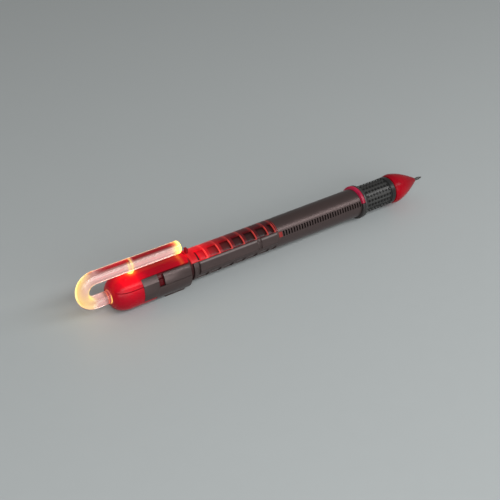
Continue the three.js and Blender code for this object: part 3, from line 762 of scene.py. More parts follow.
@dataclass
class ClipArm:
    """Clear hook clip, bent from one round rod, with a round peg down to the housing."""

    rod: float = 4.5
    rise: float = 9.3
    stand_off: float = 4.8
    reach: float = 32.5
    seat: float = 3.6
    peg_station: float = 8.5
    peg_radius: float = 0.9
    peg_low: float = 5.25
    end_round: float = 0.8
    sides: int = 40
    peg_sides: int = 32
    outer_angle: float = 42.0
    inner_angle: float = 215.0
    stripe_angle: float = -13.0
    mouth_angle: float = 53.0
    finish: ClearFinish = CLEAR

    def path(self) -> tuple[Array, Array, Array]:
        """Centre line of the hook: straight back, round a half circle and forward.

        Returns:
            Points, outward directions across the rod, and lengths along it.
        """
        bend = self.rise / 2
        lower = self.seat + self.stand_off
        curve = math.pi * bend
        tail = lower + curve + self.reach
        near_seat = [self.seat + d for d in (-0.3, -0.1, 0.0, 0.1, 0.3)]
        hook = fill_lines([0, *near_seat, lower, lower + curve], 0.45)
        straight = fill_lines([lower + curve, tail - self.end_round], 0.6)
        caps = tail - self.end_round * (1 - np.sin(np.linspace(0, math.pi / 2, 6)[1:]))
        runs = np.concatenate([hook[:-1], straight, caps])
        turn = np.clip((runs - lower) / bend, 0, math.pi)
        x = np.where(runs < lower, self.seat - runs, -self.stand_off - bend * np.sin(turn))
        x = np.where(runs > lower + curve, -self.stand_off + runs - lower - curve, x)
        z = bend - bend * np.cos(turn)
        outward = np.stack([-np.sin(turn), np.zeros_like(turn), -np.cos(turn)], axis=1)
        return np.stack([x, np.zeros_like(x), z], axis=1), outward, runs

    def build(self) -> None:
        """Makes the rod and the peg."""
        centre, outward, runs = self.path()
        around = np.linspace(0, 2 * math.pi, self.sides, endpoint=False)
        left = np.clip((runs[-1] - runs) / self.end_round, 0, 1)
        radii = self.rod / 2 - self.end_round * (1 - np.sqrt(1 - (1 - left) ** 2))
        across = np.array([0.0, 1.0, 0.0])
        points = (centre[:, None, :] + radii[:, None, None]
                  * (np.cos(around)[None, :, None] * outward[:, None, :]
                     + np.sin(around)[None, :, None] * across))
        glow, stripe = self.glow(centre, runs, around)
        make_piece("clip_arm", HOUSING_LINE, points.reshape(-1, 3),
                   tube_faces(len(runs), self.sides, capped=True), self.finish, "clip", sharp=50,
                   glow=glow.reshape(-1), stripe=stripe.reshape(-1))
        self.build_peg()

    def glow(self, centre: Array, runs: Array, around: Array) -> tuple[Array, Array]:
        """How bright and how red each point of the rod is.

        The light shows at its outer and inner lines, the bend, over the peg and at both ends. The
        red of the housing is painted on as a refraction along the top of the upper leg and just
        outside the dome.

        Args:
            centre: centre line points.
            runs: lengths along the centre line.
            around: angles round the rod, 0 facing out of the bend.

        Returns:
            The light's share and the red's, from 0 to 1, for each row and column.
        """
        def off(angle: float) -> Array:
            """How far each column is from an angle, in degrees."""
            away = np.angle(np.exp(1j * (around - math.radians(angle))))
            return np.degrees(np.abs(away))[None, :]

        x = centre[:, 0]
        lower = self.seat + self.stand_off
        curve = math.pi * self.rise / 2
        bend = np.exp(-((runs - lower - curve * 0.5) / (curve * 0.4)) ** 4)
        upper = 1 / (1 + np.exp(-(runs - lower - curve) / 0.8))
        free_end = np.exp(-np.clip(runs[-1] - runs - 1.0, 0, None) / 0.6)
        facing = np.clip(1.5 * np.cos(around + math.radians(self.mouth_angle)), 0, 1)[None, :]
        mouth = np.exp(-(x / 0.17) ** 2) * (runs < lower)
        collar = np.exp(-((x + 0.65) / 0.5) ** 2) * (runs < lower)
        over_peg = np.exp(-((x - self.peg_station) / 0.34) ** 2) * (runs > lower)
        outer_line = np.exp(-(off(self.outer_angle) / 17) ** 4)
        outer_band = np.exp(-(off(self.outer_angle) / 62) ** 2)
        inner_line = np.exp(-(off(self.inner_angle) / 20) ** 2)
        share = (outer_line * (0.75 * bend + 0.6 * upper)[:, None]
                 + outer_band * (0.52 * bend)[:, None] + inner_line * (0.27 * bend)[:, None])
        share = np.maximum(share, 0.55 * free_end[:, None])
        share = np.maximum(share, mouth[:, None] * facing)
        share = np.maximum(share, 0.4 * over_peg[:, None])
        # Painted refraction: the housing's red laid along the top of the upper leg and round the
        # collar by the dome.
        top_leg = upper * (1 - free_end) * (1 - over_peg)
        stripe = np.exp(-(off(self.stripe_angle) / 31) ** 6) * top_leg[:, None]
        stripe = np.maximum(stripe, 0.85 * collar[:, None])
        return np.clip(share + 0.07 * (1 - stripe), 0, 1), stripe

    def build_peg(self) -> None:
        """The peg: a round pin that flares where it meets the rod and the housing."""
        low, high, r = self.peg_low, self.rise - self.rod / 2 + 0.12, self.peg_radius
        profile = [(low, 0), (low, r), (6.2, r), (6.5, r + 0.15), (6.6, r + 0.15),
                   (high - 0.3, r + 0.1), (high, r + 0.5), (high, 0)]
        line = np.array(rounded(profile, 0.15))
        angles = np.radians(np.linspace(0, 360, self.peg_sides, endpoint=False))
        height, out = line[:, :1], line[:, 1:2]
        points = np.stack([self.peg_station + out * np.cos(angles), out * np.sin(angles),
                           height + 0 * angles], axis=-1)
        make_piece("clip_peg", HOUSING_LINE, points.reshape(-1, 3),
                   tube_faces(len(line), self.peg_sides), self.finish, glow=0.8, stripe=0.0)


@dataclass
class LampHousing:
    """Red dome and body, two dark side covers, the slide switch and the battery door."""

    radius: float = 6.35
    flat: float = 2.7
    dome: float = 5.9
    cover_start: float = 10.0
    cover_low: float = -29.0
    cover_top: float = 50.0
    end: float = 28.7
    core: float = 5.35
    inside: float = 4.45
    rear_wall: float = 4.2
    bore: float = 2.4
    seam: float = 2.8
    seam_width: float = 1.5
    seam_depth: float = 0.16
    strip_angle: float = 51.0
    strip_low: float = -30.0
    step_width: float = 0.06
    step_angle: float = 0.4
    door_start: float = 15.0
    notch: float = 16.0
    slider_start: float = 18.2
    peg_station: float = 8.5
    red: Finish = HOUSING_RED
    dark: Finish = GUNMETAL

    def build(self) -> None:
        """Makes the body, the covers and the switch, and dresses the door."""
        self.build_body()
        self.build_covers()
        self.build_switch()
        dress(self.dark, "battery_door")

    def dome_radius(self, x: Array) -> Array:
        """Radius of the dome: a quarter ellipse from its flat up to the full radius."""
        run = np.clip(x / self.dome, 0, 1)
        return self.flat + (self.radius - self.flat) * np.sqrt(1 - (1 - run) ** 2)

    def body_angles(self, outer_r: Array, x: Array) -> tuple[Array, int]:
        """Angles of the body's grid, whose columns follow the seam.

        The seam is level, so it runs at the angle whose sine is its height over the radius.

        Args:
            outer_r: the body's radius at each station.
            x: the stations.

        Returns:
            The angles by row and column, and the column of the far seam.
        """
        last, gap = math.degrees(math.asin(self.seam / self.core)), self.seam_width
        strip, low, step = self.strip_angle, self.strip_low, self.step_angle
        rise = np.degrees(np.arcsin(np.clip(self.seam / outer_r, 0, 0.96)))
        near = np.where(x > self.cover_start, last, rise)[:, None]
        top_marks = [last + gap, strip - step, strip, 180 - strip, 180 + step - strip,
                     180 - last - gap]
        low_marks = [180 - last + gap, 180 - low, 180 + step - low, 360 - step + low, 360 + low,
                     360 + last - gap]
        top = (fill_lines(top_marks, 4) - last - gap) / (180 - 2 * last - 2 * gap)
        bottom = (fill_lines(low_marks, 5) - 180 + last - gap) / (180 + 2 * last - 2 * gap)
        angles = np.hstack([
            near,
            near + gap + (180 - 2 * near - 2 * gap) * top[None, :],
            180 - near,
            180 - near + gap + (180 + 2 * near - 2 * gap) * bottom[None, :],
        ])
        return angles, 1 + len(top)

    def build_body(self) -> None:
        """The red body: two halves that meet in a fine groove along a level seam.

        It keeps its full radius along the top strip and, as far as the door, along the bottom.
        Under the covers it steps down to its core.
        """
        easing = self.dome * (1 - np.cos(np.linspace(0, math.pi / 2, 22)))
        step = self.step_width
        door = self.door_start
        marks = [self.dome, self.cover_start, self.cover_start + step, door, door + step, self.end]
        x = np.concatenate([[0.0], easing[:-1], fill_lines(marks, 1.2)])
        outer_r = self.dome_radius(x)
        outer_r[0] = self.bore
        angles, far_seam = self.body_angles(outer_r, x)
        half = self.step_angle / 2
        strip, low = self.strip_angle, self.strip_low
        on_top = (angles > strip - half) & (angles < 180 + half - strip)
        below = (angles > 180 + half - low) & (angles < 360 - half + low)
        below &= x[:, None] < door + step / 2
        covered = (x[:, None] > self.cover_start + step / 2) & ~on_top & ~below
        radii = np.where(covered, self.core, outer_r[:, None])
        groove = np.zeros(angles.shape[1], bool)
        groove[[0, far_seam]] = True
        radii = radii - self.seam_depth * np.clip((x - 0.6) / 1.5, 0, 1)[:, None] * groove
        inner_r = np.where(x < self.rear_wall, self.bore, self.inside)[:, None] + 0 * angles
        outer = polar(x[:, None], angles, radii)
        inner = polar(x[:, None], angles, inner_r)
        inner[0] = outer[0]
        points, faces = walled_shell(outer, inner, np.ones((len(x) - 1, len(groove)), bool), True)
        # Painted shade: darker under the side covers and towards the underside. The seam's groove
        # is dark as well.
        dark = np.where(covered, 0.8, 0.0)
        dark = np.maximum(dark, groove * (x[:, None] > 0.6))
        dark = np.maximum(dark, 0.55 * np.clip((-np.sin(np.radians(angles)) - 0.72) / 0.25, 0, 1))
        make_piece("lamp_housing", HOUSING_LINE, points, faces, self.red, "housing_upper",
                   "housing_lower", edge=self.body_glow(points), dark=outside_only(dark))

    def body_glow(self, points: Array) -> Array:
        """Bright patches of the red body: the clip hole's rim, the peg's foot and the front edge.

        Args:
            points: the body's points, in its own axes.

        Returns:
            A share from 0 to 1 for each point.
        """
        x, y, z = points.T
        rim = 0.3 * np.exp(-((np.hypot(y, z) - self.bore) / 0.15) ** 2) * (x < 0.4)
        peg = np.exp(-(np.hypot(x - self.peg_station, y) / 1.2) ** 2) * (z > 3)
        glint = 0.45 * np.exp(-((x - self.end + 1.9) / 0.35) ** 2) * (z > 4.7)
        return np.clip(rim + peg + glint, 0, 1)

    def cover_outline(self, side: int, low: float, top: float, rise: float = 0.0,
                      ridge: float = 26.0) -> Array:
        """Section of a side cover: round below, a flat up to the ridge, then a bevel.

        Args:
            side: 1 for the switch side, or -1 for the far side.
            low: its lowest angle.
            top: its highest angle.
            rise: how far it stands proud.
            ridge: the ridge's angle.

        Returns:
            Points of y and z.
        """
        outer = self.radius + rise
        angles = np.linspace(low, 0, 9).tolist() if low < 0 else [low]
        radii = [outer] * len(angles)
        if top > ridge:
            angles.append(ridge)
            radii.append(outer + 0.12)
            radii.append(outer - (0.05 if rise else 0.1))
        else:
            radii.append(outer + 0.03)
        angles.append(top)
        back = np.linspace(top, low, 14)
        turn = np.radians([*angles, *back])
        radius = np.array(radii + [self.core + 0.15] * len(back))
        return np.stack([-side * radius * np.cos(turn), radius * np.sin(turn)], axis=1)

    def build_covers(self) -> None:
        """Side covers: the far one whole, the near one low from the notch on, for the switch."""
        start = self.cover_start + 0.12
        for name, node, side, top, ends, bevel in (
                ("cover_far", "side_cover_far", -1, self.cover_top, (start, self.end), 0.12),
                ("cover_near_rear", "side_cover_near", 1, self.cover_top, (start, self.notch),
                 0.12),
                ("cover_near_front", "side_cover_near", 1, 7, (self.notch - 0.2, self.end), 0.1)):
            section = self.cover_outline(side, self.cover_low, top)
            make_piece(name, HOUSING_LINE, *prism(section, *ends), self.dark, node, bevel=bevel)

    def build_switch(self) -> None:
        """The slide switch: a cap with the cover's section, raised a little."""
        section = self.cover_outline(1, 8, 46, 0.05, 31.0)
        cap = prism(section, self.slider_start, self.end)
        make_piece("switch_cap", HOUSING_LINE, *cap, self.dark, "switch_slider", body=Body.SWITCH,
                   bevel=0.14)


@dataclass
class Barrel:
    """Dark slotted barrel with rails, turned against the housing, its windowed cover and ring."""

    start: float = BARREL_START
    ladder_end: float = 66.55
    end: float = 105.7
    rear_radius: float = 5.3
    front_radius: float = 5.5
    bore: float = 4.4
    bead: float = 1.3
    bead_rise: float = 0.12
    groove: float = 0.9
    groove_depth: float = 0.35
    bay_first: float = 32.6
    bay_pitch: float = 5.18
    bay_length: float = 3.98
    bay_count: int = 7
    bay_stop: float = 65.65
    window_low: float = 19.0
    window_top: float = 63.0
    pocket_low: float = -80.0
    pocket_top: float = -44.0
    pocket_depth: float = 0.45
    edge_angle: float = 14.0
    nub_slot: float = 1.6
    slot_first: float = 68.8
    slot_pitch: float = 1.205
    slot_width: float = 0.58
    slot_half_angle: float = 10.1
    slot_count: int = 31
    rail_angle: float = -8.5
    rail_face: float = 5.6
    rail_edge: float = 18.3
    rail_foot: float = 24.2
    step: float = 0.07
    column: float = 3.5
    ring_radius: float = 6.4
    ring_bore: float = 4.32
    tube_start: float = 34.3
    tube_end: float = 99.7
    tube_bore: float = 3.4
    tube_radius: float = 4.1
    dark: Finish = GUNMETAL
    red: Finish = COVER_RED

    def build(self) -> None:
        """Makes the neck, the barrel, its cover, the tube inside and the ring."""
        self.build_neck()
        self.build_tube()
        self.build_cover()
        self.build_inner_tube()
        self.build_ring()

    def bays(self) -> list[tuple[float, float]]:
        """Start and end of each window along the pen, the last one cut short."""
        starts = [self.bay_first + i * self.bay_pitch for i in range(self.bay_count)]
        return [(s, min(s + self.bay_length, self.bay_stop)) for s in starts]

    def radius_at(self, x: Numbers) -> Numbers:
        """Plain radius of the barrel, growing evenly to the front."""
        share = (x - self.start) / (self.end - self.start)
        return self.rear_radius + (self.front_radius - self.rear_radius) * share

    def slots(self) -> list[tuple[float, float]]:
        """Start and end of each fine slot along the pen."""
        middles = [self.slot_first + i * self.slot_pitch for i in range(self.slot_count)]
        return [(m - self.slot_width / 2, m + self.slot_width / 2) for m in middles]

    def rails(self) -> list[tuple[float, float, float]]:
        """Start, end and drop of each stretch of rail."""
        return [(32.7, 56.9, 0.0), (57.55, 58.05, 0.2), (58.7, 65.8, 0.0)]

    def tube_stations(self) -> Array:
        """Stations of the barrel's grid: every line along the pen where its wall changes."""
        step, bead_end = self.step, self.start + self.bead
        marks = [self.start, self.start + 0.12, bead_end - 0.1, bead_end, bead_end + step,
                 bead_end + self.groove, bead_end + self.groove + step, self.ladder_end,
                 self.ladder_end + self.nub_slot, self.end - 0.1, self.end]
        for a, b, _ in self.rails():
            marks += [a, a + 2 * step, b - 2 * step, b]
        for a, b in self.bays():
            marks += [a, a + step, b - step, b]
        for ends in self.slots():
            marks += ends
        return fill_lines(marks, 1.3)

    def tube_angles(self) -> Array:
        """Angles of the barrel's grid: the same lines on both sides, where its wall changes."""
        low, top = self.pocket_low, self.pocket_top
        rail = (6, 12, 15.8, 20.2, self.rail_foot)
        side = [self.rail_angle + m for m in (0, *rail, *(-m for m in rail))]
        side += [self.slot_half_angle, -self.slot_half_angle, self.edge_angle, low - 1, low + 0.5,
                 top - 0.5, top + 1]
        return fill_lines([-90, 90, 180, 270 - 0.001, *side, *(180 - a for a in side)], 5.0)[:-1]

    def tube_radii(self, x: Array, fold: Array) -> Array:
        """Radius of the barrel's wall, with its bead, groove, chamfers, rails and pockets.

        A rail's face is flat: its radius is the face's distance over the cosine of the angle off
        its middle.

        Args:
            x: the stations, as a column.
            fold: the angles folded onto one side, as a row.

        Returns:
            The radii by row and column.
        """
        step, bead_end = self.step, self.start + self.bead
        plain = self.radius_at(x)
        radii = plain + 0 * fold
        radii = np.where(x <= bead_end, self.rear_radius + self.bead_rise, radii)
        in_groove = (x > bead_end + step / 2) & (x <= bead_end + self.groove)
        radii = np.where(in_groove, plain - self.groove_depth, radii)
        chamfer = (x < self.start + 0.05) | (x > self.end - 0.05)
        radii = np.where(chamfer, radii - 0.1, radii)
        off = np.abs(fold - self.rail_angle)
        face = self.rail_face / np.cos(np.radians(np.minimum(off, self.rail_edge)))
        side = np.interp(off, [self.rail_edge, self.rail_foot], [0.0, 1.0])
        for a, b, drop in self.rails():
            inside = (x > a + step / 2) & (x < b - step / 2) & (off < self.rail_foot - 0.1)
            ends = (x < a + 1.5 * step) | (x > b - 1.5 * step)
            proud = (face - drop) * (1 - side) + radii * side
            radii = np.where(inside, np.maximum(radii, proud) - np.where(ends, 0.08, 0.0), radii)
        in_pocket = (fold < self.pocket_top) & (fold > self.pocket_low)
        for a, b in self.bays():
            inside = (x > a + step / 2) & (x < b - step / 2) & in_pocket
            radii = np.where(inside, plain - self.pocket_depth, radii)
        return radii

    def build_tube(self) -> None:
        """The barrel wall: one grid, in which the slots and the cover's opening leave cells out."""
        x, angles = self.tube_stations(), self.tube_angles()
        column, fold = x[:, None], folded(angles)[None, :]
        radii = self.tube_radii(column, fold)
        mid_x = (column[1:] + column[:-1]) / 2
        wrapped = np.append(angles, angles[0] + 360)
        mid_fold = folded((wrapped[1:] + wrapped[:-1]) / 2)[None, :]
        in_slots = np.abs(mid_fold) < self.slot_half_angle
        opening = (mid_x < self.ladder_end) & (mid_fold > self.edge_angle)
        for a, b in [(self.ladder_end, self.ladder_end + self.nub_slot), *self.slots()]:
            opening |= (mid_x > a) & (mid_x < b) & in_slots
        points, faces = polar_shell(x, angles, radii, self.bore, ~opening, True)
        # Painted highlight: a lighter band along each rail's upper bevel.
        upper = np.interp(fold - self.rail_angle, [14.0, 15.8, 20.2, 22.0], [0.0, 1.0, 1.0, 0.0])
        first, last = self.rails()[0][0], self.rails()[-1][1]
        on_rail = (column > first) & (column < last) & (radii > self.radius_at(column) + 0.1)
        # Painted shade: the barrel's inner wall in front of the cover is made nearly black, which
        # darkens the slots.
        deep = np.ones_like(radii) * (column > self.ladder_end + 0.1)
        make_piece("barrel_tube", TURNED_LINE, points, faces, self.dark, "barrel",
                   worn=outside_only(upper * on_rail), deep=np.roll(outside_only(deep), deep.size))

    def build_cover(self) -> None:
        """The red light cover: an arched wall with a window on both sides of its spine in each
        bay, a thin lip and a lug at the rear, and a nub on each side in front."""
        low, high = self.edge_angle + 1.0, 179.0 - self.edge_angle
        near, far = self.window_low, self.window_top
        marks = [self.start + 0.1, self.ladder_end - 0.5, self.ladder_end - 0.1]
        for a, b in self.bays():
            marks += [a, b, b + 0.12]
        x = fill_lines(marks, 1.4)
        angles = fill_lines([low, near, far, 180 - far, 180 - near, high], self.column)
        radius = self.radius_at(self.ladder_end)
        mid_x = ((x[1:] + x[:-1]) / 2)[:, None]
        fold = folded((angles[1:] + angles[:-1]) / 2)[None, :]
        keep = np.ones((len(x) - 1, len(angles) - 1), bool)
        for a, b in self.bays():
            keep &= ~((mid_x > a) & (mid_x < b) & (fold > near) & (fold < far))
        points, faces = polar_shell(x, angles, radius, self.bore + 0.1, keep)
        make_piece("light_ladder", TURNED_LINE, points, faces, self.red, "light_cover", bevel=0.09,
                   edge=self.cover_glow(points))
        for number, side in ((1, 1), (2, -1)):
            section = self.facing(side, 0.0, 1.9, self.bore + 0.1, radius + 0.2)
            nub = prism(section, self.ladder_end + 0.1, self.ladder_end + 1.5)
            make_piece(f"cover_nub_{number}", TURNED_LINE, *nub, self.red, "light_cover",
                       bevel=0.16, edge=0.22)
        section = self.facing(1, 90 - TURNED_LINE.turn, 1.6, radius - 0.2, 7.1)
        lug = prism(section, self.start - 0.6, self.start + 0.3)
        # The lug's dark value is painted shade that also dims the lamp's light on it.
        make_piece("cover_lug", TURNED_LINE, *lug, self.red, "light_cover", bevel=0.15, edge=0.0,
                   dark=0.55)
        x = self.start + np.array([-0.6, -0.5, 0.2])
        outer = np.array([radius - 0.1, radius, radius])[:, None]
        points, faces = polar_shell(x, fill_lines([low, high], self.column), outer, radius - 0.35)
        make_piece("cover_lip", TURNED_LINE, points, faces, self.red, "light_cover", edge=0.08)

    def cover_glow(self, points: Array) -> Array:
        """Bright lines of the cover: the edge of each bar that faces the lamp, and the front rim.

        Args:
            points: the cover's points, in its own axes.

        Returns:
            A share from 0 to 1 for each point.
        """
        x, y, z = points.T
        share = 0.8 * np.exp(-((x - self.ladder_end + 0.1) / 0.15) ** 2)
        for _, b in self.bays():
            share = np.maximum(share, np.exp(-((x - b) / 0.05) ** 2))
        fade = np.exp(-np.clip(x - self.start, 0, None) / 30.0)
        steep = np.degrees(np.arctan2(z, np.abs(y)))
        side = 0.3 + 0.7 * np.clip((62 - steep) / 12, 0, 1)
        outside = np.where(np.hypot(y, z) > 5.1, 1.0, 0.35)
        return np.clip(share * side * (0.3 + 0.7 * fade) * outside, 0, 1)

    def facing(self, side: int, angle: float, height: float, inner: float, outer: float) -> Array:
        """Section of a block that faces outwards at an angle, from one radius to another.

        Args:
            side: 1 for the switch side, or -1 for the far side.
            angle: how far the block is turned up, in degrees.
            height: its width across.
            inner: radius of its inner face.
            outer: radius of its outer face.

        Returns:
            Four points of y and z.
        """
        a, half = math.radians(angle), height / 2
        along = np.array([-side * math.cos(a), math.sin(a)])
        across = np.array([side * math.sin(a), math.cos(a)])
        return np.array([inner * along - half * across, outer * along - half * across,
                         outer * along + half * across, inner * along + half * across])

    def build_inner_tube(self) -> None:
        """The smoked tube that shows in the windows and behind the slots."""
        start, end, r, bore = self.tube_start, self.tube_end, self.tube_radius, self.tube_bore
        profile = [(start, bore), (start, r), (self.ladder_end, r), (self.ladder_end + 0.3, r),
                   (end, r), (end, bore), (start, bore)]
        points, faces = revolve(rounded(profile, 0.08), 96, True)
        # Painted shade: the tube turns nearly black in front of the cover, behind the slots.
        make_piece("smoked_tube", BARREL_LINE, points, faces, SMOKED, "light_tube",
                   behind_slots=np.clip((points[:, 0] - self.ladder_end) / 0.3, 0, 1))

    def build_ring(self) -> None:
        """The two-part ring: half a turn of red over half a turn of black, with rounded rims."""
        x = self.end + np.array([0.1, 0.2, 0.35, 0.75, 1.15, 1.3, 1.4])
        radii = self.ring_radius - np.array([0.28, 0.12, 0.03, 0.0, 0.03, 0.12, 0.28])[:, None]
        for name, node, start, finish in (("ring_red", "ring_upper", 0.6, RING_RED),
                                          ("ring_dark", "ring_lower", 180.6, RING_BLACK)):
            angles = fill_lines([start, start + 0.8, start + 178.0, start + 178.8], self.column)
            ease = np.where((angles < start + 0.4) | (angles > start + 178.4), 0.08, 0.0)
            points, faces = polar_shell(x, angles, radii - ease[None, :], self.ring_bore)
            make_piece(name, TURNED_LINE, points, faces, finish, node)

    def build_neck(self) -> None:
        """The dark plug between the housing and the barrel."""
        rear = [(26.9, 0), (26.9, 4.25), (29.6, 4.25), (29.6, 0)]
        front = [(28.85, 0), (28.85, 4.9), (30.35, 4.9), (30.35, 4.2), (33.9, 4.2), (33.9, 0)]
        for name, line, profile in (("neck_rear", HOUSING_LINE, rear),
                                    ("neck_front", BARREL_LINE, front)):
            make_piece(name, line, *revolve(rounded(profile, 0.1), 64), NECK_RUBBER, "neck_plug")


@dataclass
class WritingEnd:
    """Grip collar with rows of small studs, seal, nose cone and writing point."""

    grip_start: float = 107.2
    flange: float = 0.6
    taper: float = 1.8
    lip: float = 1.8
    flange_radius: float = 6.35
    sleeve_radius: float = 5.35
    root_radius: float = 4.85
    row_count: int = 18
    row_turn: float = 17.0
    ring_count: int = 8
    ring_first: float = 109.75
    ring_pitch: float = 1.524
    stud_length: float = 0.85
    stud_half_angle: float = 5.2
    stud_ease: float = 0.12
    stud_ease_angle: float = 1.3
    stud_rise: float = 0.5
    grip_end: float = 123.3
    bush_bore: float = 3.6
    mouth: float = 4.8
    mouth_bore: float = 3.9
    seal_radius: float = 5.05
    seal_bore: float = 3.9
    nose_start: float = 123.75
    nose_length: float = 13.9
    nose_base: float = 5.45
    nose_waist: float = 5.75
    nose_tip: float = 1.0
    nose_fullness: float = 0.35
    swell: float = 2.0
    point_bore: float = 0.75
    refill_bore: float = 2.6
    spigot_radius: float = 3.6
    spigot_length: float = 4.5
    thread_pitch: float = 1.0
    thread_depth: float = 0.22
    ball_radius: float = 0.3

    def build(self) -> None:
        """Makes the grip, the seal, the nose and the point."""
        self.build_grip()
        self.build_seal()
        self.build_nose()
        self.build_point()

    def build_grip(self) -> None:
        """The grip: a flange, a cone and a sleeve whose radius rises in each stud."""
        start, end = self.grip_start, self.grip_end
        flange_end, lip_start = start + self.flange, end - self.lip
        stations, base_radii = zip(
            (start, self.flange_radius - 0.1), (start + 0.12, self.flange_radius),
            (flange_end - 0.1, self.flange_radius), (flange_end, self.flange_radius - 0.1),
            (flange_end + self.taper, self.root_radius), (lip_start - 0.1, self.root_radius),
            (lip_start, self.sleeve_radius), (end - 0.15, self.sleeve_radius),
            (end, self.sleeve_radius - 0.12))
        ring_starts = [self.ring_first + i * self.ring_pitch for i in range(self.ring_count)]
        rings = [(a, a + self.stud_length) for a in ring_starts]
        marks = list(stations)
        for a, b in rings:
            marks += [a, a + self.stud_ease, b - self.stud_ease, b]
        x = fill_lines(marks, 0.8)
        pitch, half, ease = 360 / self.row_count, self.stud_half_angle, self.stud_ease_angle
        angle_marks = [0.0, 360.0 - 1e-3]
        for i in range(self.row_count):
            middle = self.row_turn + i * pitch
            angle_marks += [(middle + d) % 360 for d in (-half, ease - half, half - ease, half)]
        angles = fill_lines(angle_marks, 5.0)[:-1]
        offset = np.abs((angles - self.row_turn + pitch / 2) % pitch - pitch / 2)
        across = np.clip((half - offset) / ease, 0, 1)
        along = [np.clip(np.minimum(x - a, b - x) / self.stud_ease, 0, 1) for a, b in rings]
        stud = np.max(along, axis=0)[:, None] * across[None, :]
        radii = np.interp(x, stations, base_radii)[:, None] + self.stud_rise * stud
        inner = np.where(x < end - self.mouth, self.bush_bore, self.mouth_bore)[:, None]
        points, faces = polar_shell(x, angles, radii, inner, wrap=True)
        # The studs and the lip before the seal are made darker.
        dark = np.maximum(stud, 0.85 * (x > lip_start - 0.05)[:, None])
        make_piece("grip_collar", BARREL_LINE, points, faces, GRIP_PLASTIC, "grip",
                   stud=outside_only(dark))

    def build_nose(self) -> None:
        """The nose cone: a short swell, then a line between a straight cone and a cosine bow."""
        start, base, waist, end = self.nose_start, self.nose_base, self.nose_waist, self.nose_tip
        full, swell, tip = self.nose_fullness, self.swell, self.nose_start + self.nose_length
        profile = [(start + s, base + (waist - base) * math.sin(s / swell * math.pi / 2))
                   for s in np.linspace(0, swell, 6)]
        for share in np.linspace(0, 1, 26)[1:]:
            blend = full * (1 - share) + (1 - full) * math.cos(share * math.pi / 2)
            station = start + swell + (self.nose_length - swell) * share
            profile.append((station, end + (waist - end) * blend))
        spigot = start - self.spigot_length
        profile += [(tip, self.point_bore), (tip - 1.2, self.point_bore), (start, self.refill_bore),
                    (spigot, self.refill_bore)]
        profile += [(s, self.spigot_radius) for s in np.linspace(spigot, start, 37)]
        profile.append((start, base - 0.15))
        points, faces = revolve(profile, 96, True)
        make_piece("nose_shell", BARREL_LINE, self.cut_thread(points), faces, NOSE_RED, "nose_cone",
                   body=Body.NOSE)

    def cut_thread(self, points: Array) -> Array:
        """Sinks a right-hand thread into the spigot.

        The radius drops by half the depth times one minus the cosine of a phase, which is a full
        turn for each pitch along the pen, less the angle round it. It fades out at both ends.

        Args:
            points: the nose's points, in its own axes.

        Returns:
            The same points, with those on the spigot moved inwards.
        """
        x, y, z = points.T
        radial = np.hypot(y, z)
        start, end, fade = self.nose_start - self.spigot_length, self.nose_start - 0.4, 0.35
        ease = np.clip(np.minimum(x - start, end - x) / fade, 0, 1)
        on_spigot = np.abs(radial - self.spigot_radius) < 1e-6
        phase = 2 * math.pi * x / self.thread_pitch - np.arctan2(z, y)
        drop = 0.5 * self.thread_depth * (1 - np.cos(phase)) * ease * on_spigot
        share = 1 - drop / np.maximum(radial, 0.1)
        return np.stack([x, y * share, z * share], axis=1)

    def build_seal(self) -> None:
        """The thin seal between grip and cone."""
        a, b = self.grip_end + 0.05, self.nose_start - 0.05
        r, bore = self.seal_radius, self.seal_bore
        profile = rounded([(a, bore), (a, r), (b, r), (b, bore), (a, bore)], 0.12)
        make_piece("seal", BARREL_LINE, *revolve(profile, 64, True), SEAL_RUBBER, "seal_ring")

    def build_point(self) -> None:
        """The metal writing point: a shoulder, a long taper and a crimp that holds the ball."""
        start = self.nose_start + self.nose_length - 9.4
        tip = self.nose_start + self.nose_length + 4.2
        profile = [(start, 0), (start, 1.3), (start + 2.4, 1.3), (start + 6.4, 0.55),
                   (tip - 1.6, 0.55), (tip - 0.66, 0.34), (tip - 0.66, 0)]
        make_piece("writing_point", BARREL_LINE, *revolve(rounded(profile, 0.15), 48), POINT_METAL,
                   "refill_point", body=Body.REFILL)
        r = self.ball_radius
        ball = [(tip - r - r * math.cos(a), r * math.sin(a)) for a in np.linspace(0, math.pi, 13)]
        make_piece("ball", BARREL_LINE, *revolve(ball, 24), POINT_METAL, "refill_ball",
                   body=Body.REFILL)


@dataclass(frozen=True)
class AreaLight:
    """A soft rectangular light: its place, its two sides and the point it faces, in metres, and
    its power in watts."""

    name: str
    place: Triple
    size: tuple[float, float]
    power: float
    aim: Triple

    def build(self) -> None:
        """Adds the light to the scene."""
        data = bpy.data.lights.new(self.name, "AREA")
        data.shape = "RECTANGLE"
        data.size, data.size_y = self.size
        data.energy = self.power
        light = bpy.data.objects.new(self.name, data)
        bpy.context.scene.collection.objects.link(light)
        light.location = self.place
        direction = Vector(self.aim) - Vector(self.place)
        light.rotation_euler = direction.to_track_quat("-Z", "Y").to_euler()


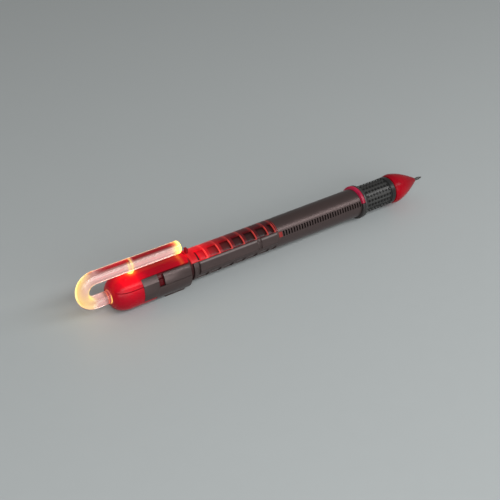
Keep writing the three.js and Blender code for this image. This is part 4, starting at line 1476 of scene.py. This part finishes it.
@dataclass
class Studio:
    """Pale table, soft light, and the camera at the photograph's angle.

    The camera's place and lens are in millimetres, its turn in degrees and the table in metres.
    """

    camera_place: Triple = (-194.343, -251.921, 195.278)
    camera_turn: Triple = (58.5928, -0.1222, -36.4905)
    camera_shift: tuple[float, float] = (-0.0008, -0.0013)
    lens: float = 74.1
    sensor: float = 36.0
    table_half: float = 3.0
    table_height: float = -0.00003
    world_colour: tuple[float, float, float, float] = (1.0, 0.99, 0.97, 1.0)
    world_level: float = 0.273
    lights: tuple[AreaLight, ...] = (
        AreaLight("key", (0.28, -0.42, 0.43), (1.3, 0.14), 3.05, (0.28, 0.0, 0.0)),
        AreaLight("fill", (-0.3, -0.9, 0.3), (1.6, 0.5), 7.15, (0.0, 0.0, 0.0)),
    )

    def build(self) -> None:
        """Makes the camera, the table, the surroundings and the lights."""
        self.build_camera()
        self.build_table()
        self.build_world()
        for light in self.lights:
            light.build()

    def build_table(self) -> None:
        """A wide sheet under the pen, pale grey with a very slow tint drift."""
        half, signs = self.table_half, ((-1, -1), (1, -1), (1, 1), (-1, 1))
        corners = [(x * half, y * half, self.table_height) for x, y in signs]
        mesh = bpy.data.meshes.new("floor")
        mesh.from_pydata(corners, [], [(0, 1, 2, 3)])
        floor = bpy.data.objects.new("floor", mesh)
        bpy.context.scene.collection.objects.link(floor)
        mesh.materials.append(TABLE.build())

    def build_world(self) -> None:
        """Even, pale surroundings."""
        world = bpy.data.worlds.new("studio")
        bpy.context.scene.world = world
        world.use_nodes = True
        background = world.node_tree.nodes["Background"]
        background.inputs["Color"].default_value = self.world_colour
        background.inputs["Strength"].default_value = self.world_level

    def build_camera(self) -> None:
        """The camera, at the place and angle worked out from the photograph's perspective."""
        data = bpy.data.cameras.new("camera")
        data.lens = self.lens
        data.sensor_width = self.sensor
        data.shift_x, data.shift_y = self.camera_shift
        data.clip_start, data.clip_end = 0.01, 20.0
        camera = bpy.data.objects.new("camera", data)
        bpy.context.scene.collection.objects.link(camera)
        camera.location = Vector(self.camera_place) * MM
        camera.rotation_euler = tuple(math.radians(a) for a in self.camera_turn)
        bpy.context.scene.camera = camera


def dress_inner_solids() -> None:
    """Finishes for the solids that keep their own shape: those inside, and the door's screw."""
    dress(BRIGHT_STEEL, "door_screw", "cell_1", "cell_2", "cell_3", "cell_4")
    dress(TURNED_BRASS, "contact_rear", "contact_front", "front_bush", "switch_leaf")
    dress(GREEN_BOARD, "circuit_board")
    dress(LAMP_LENS, "led_rear", "led_front")
    dress(INK_PLASTIC, "refill_tube")
    dress(PLUG_RUBBER, "refill_plug")


def main() -> None:
    """Builds the studio and every piece of the pen, in order."""
    logging.basicConfig(level=logging.INFO, format="%(message)s")
    bpy.context.scene.view_settings.view_transform = "Standard"
    for assembly in (Studio(), ClipArm(), LampHousing(), Barrel(), WritingEnd()):
        assembly.build()
    dress_inner_solids()


if __name__ == "__main__":
    main()
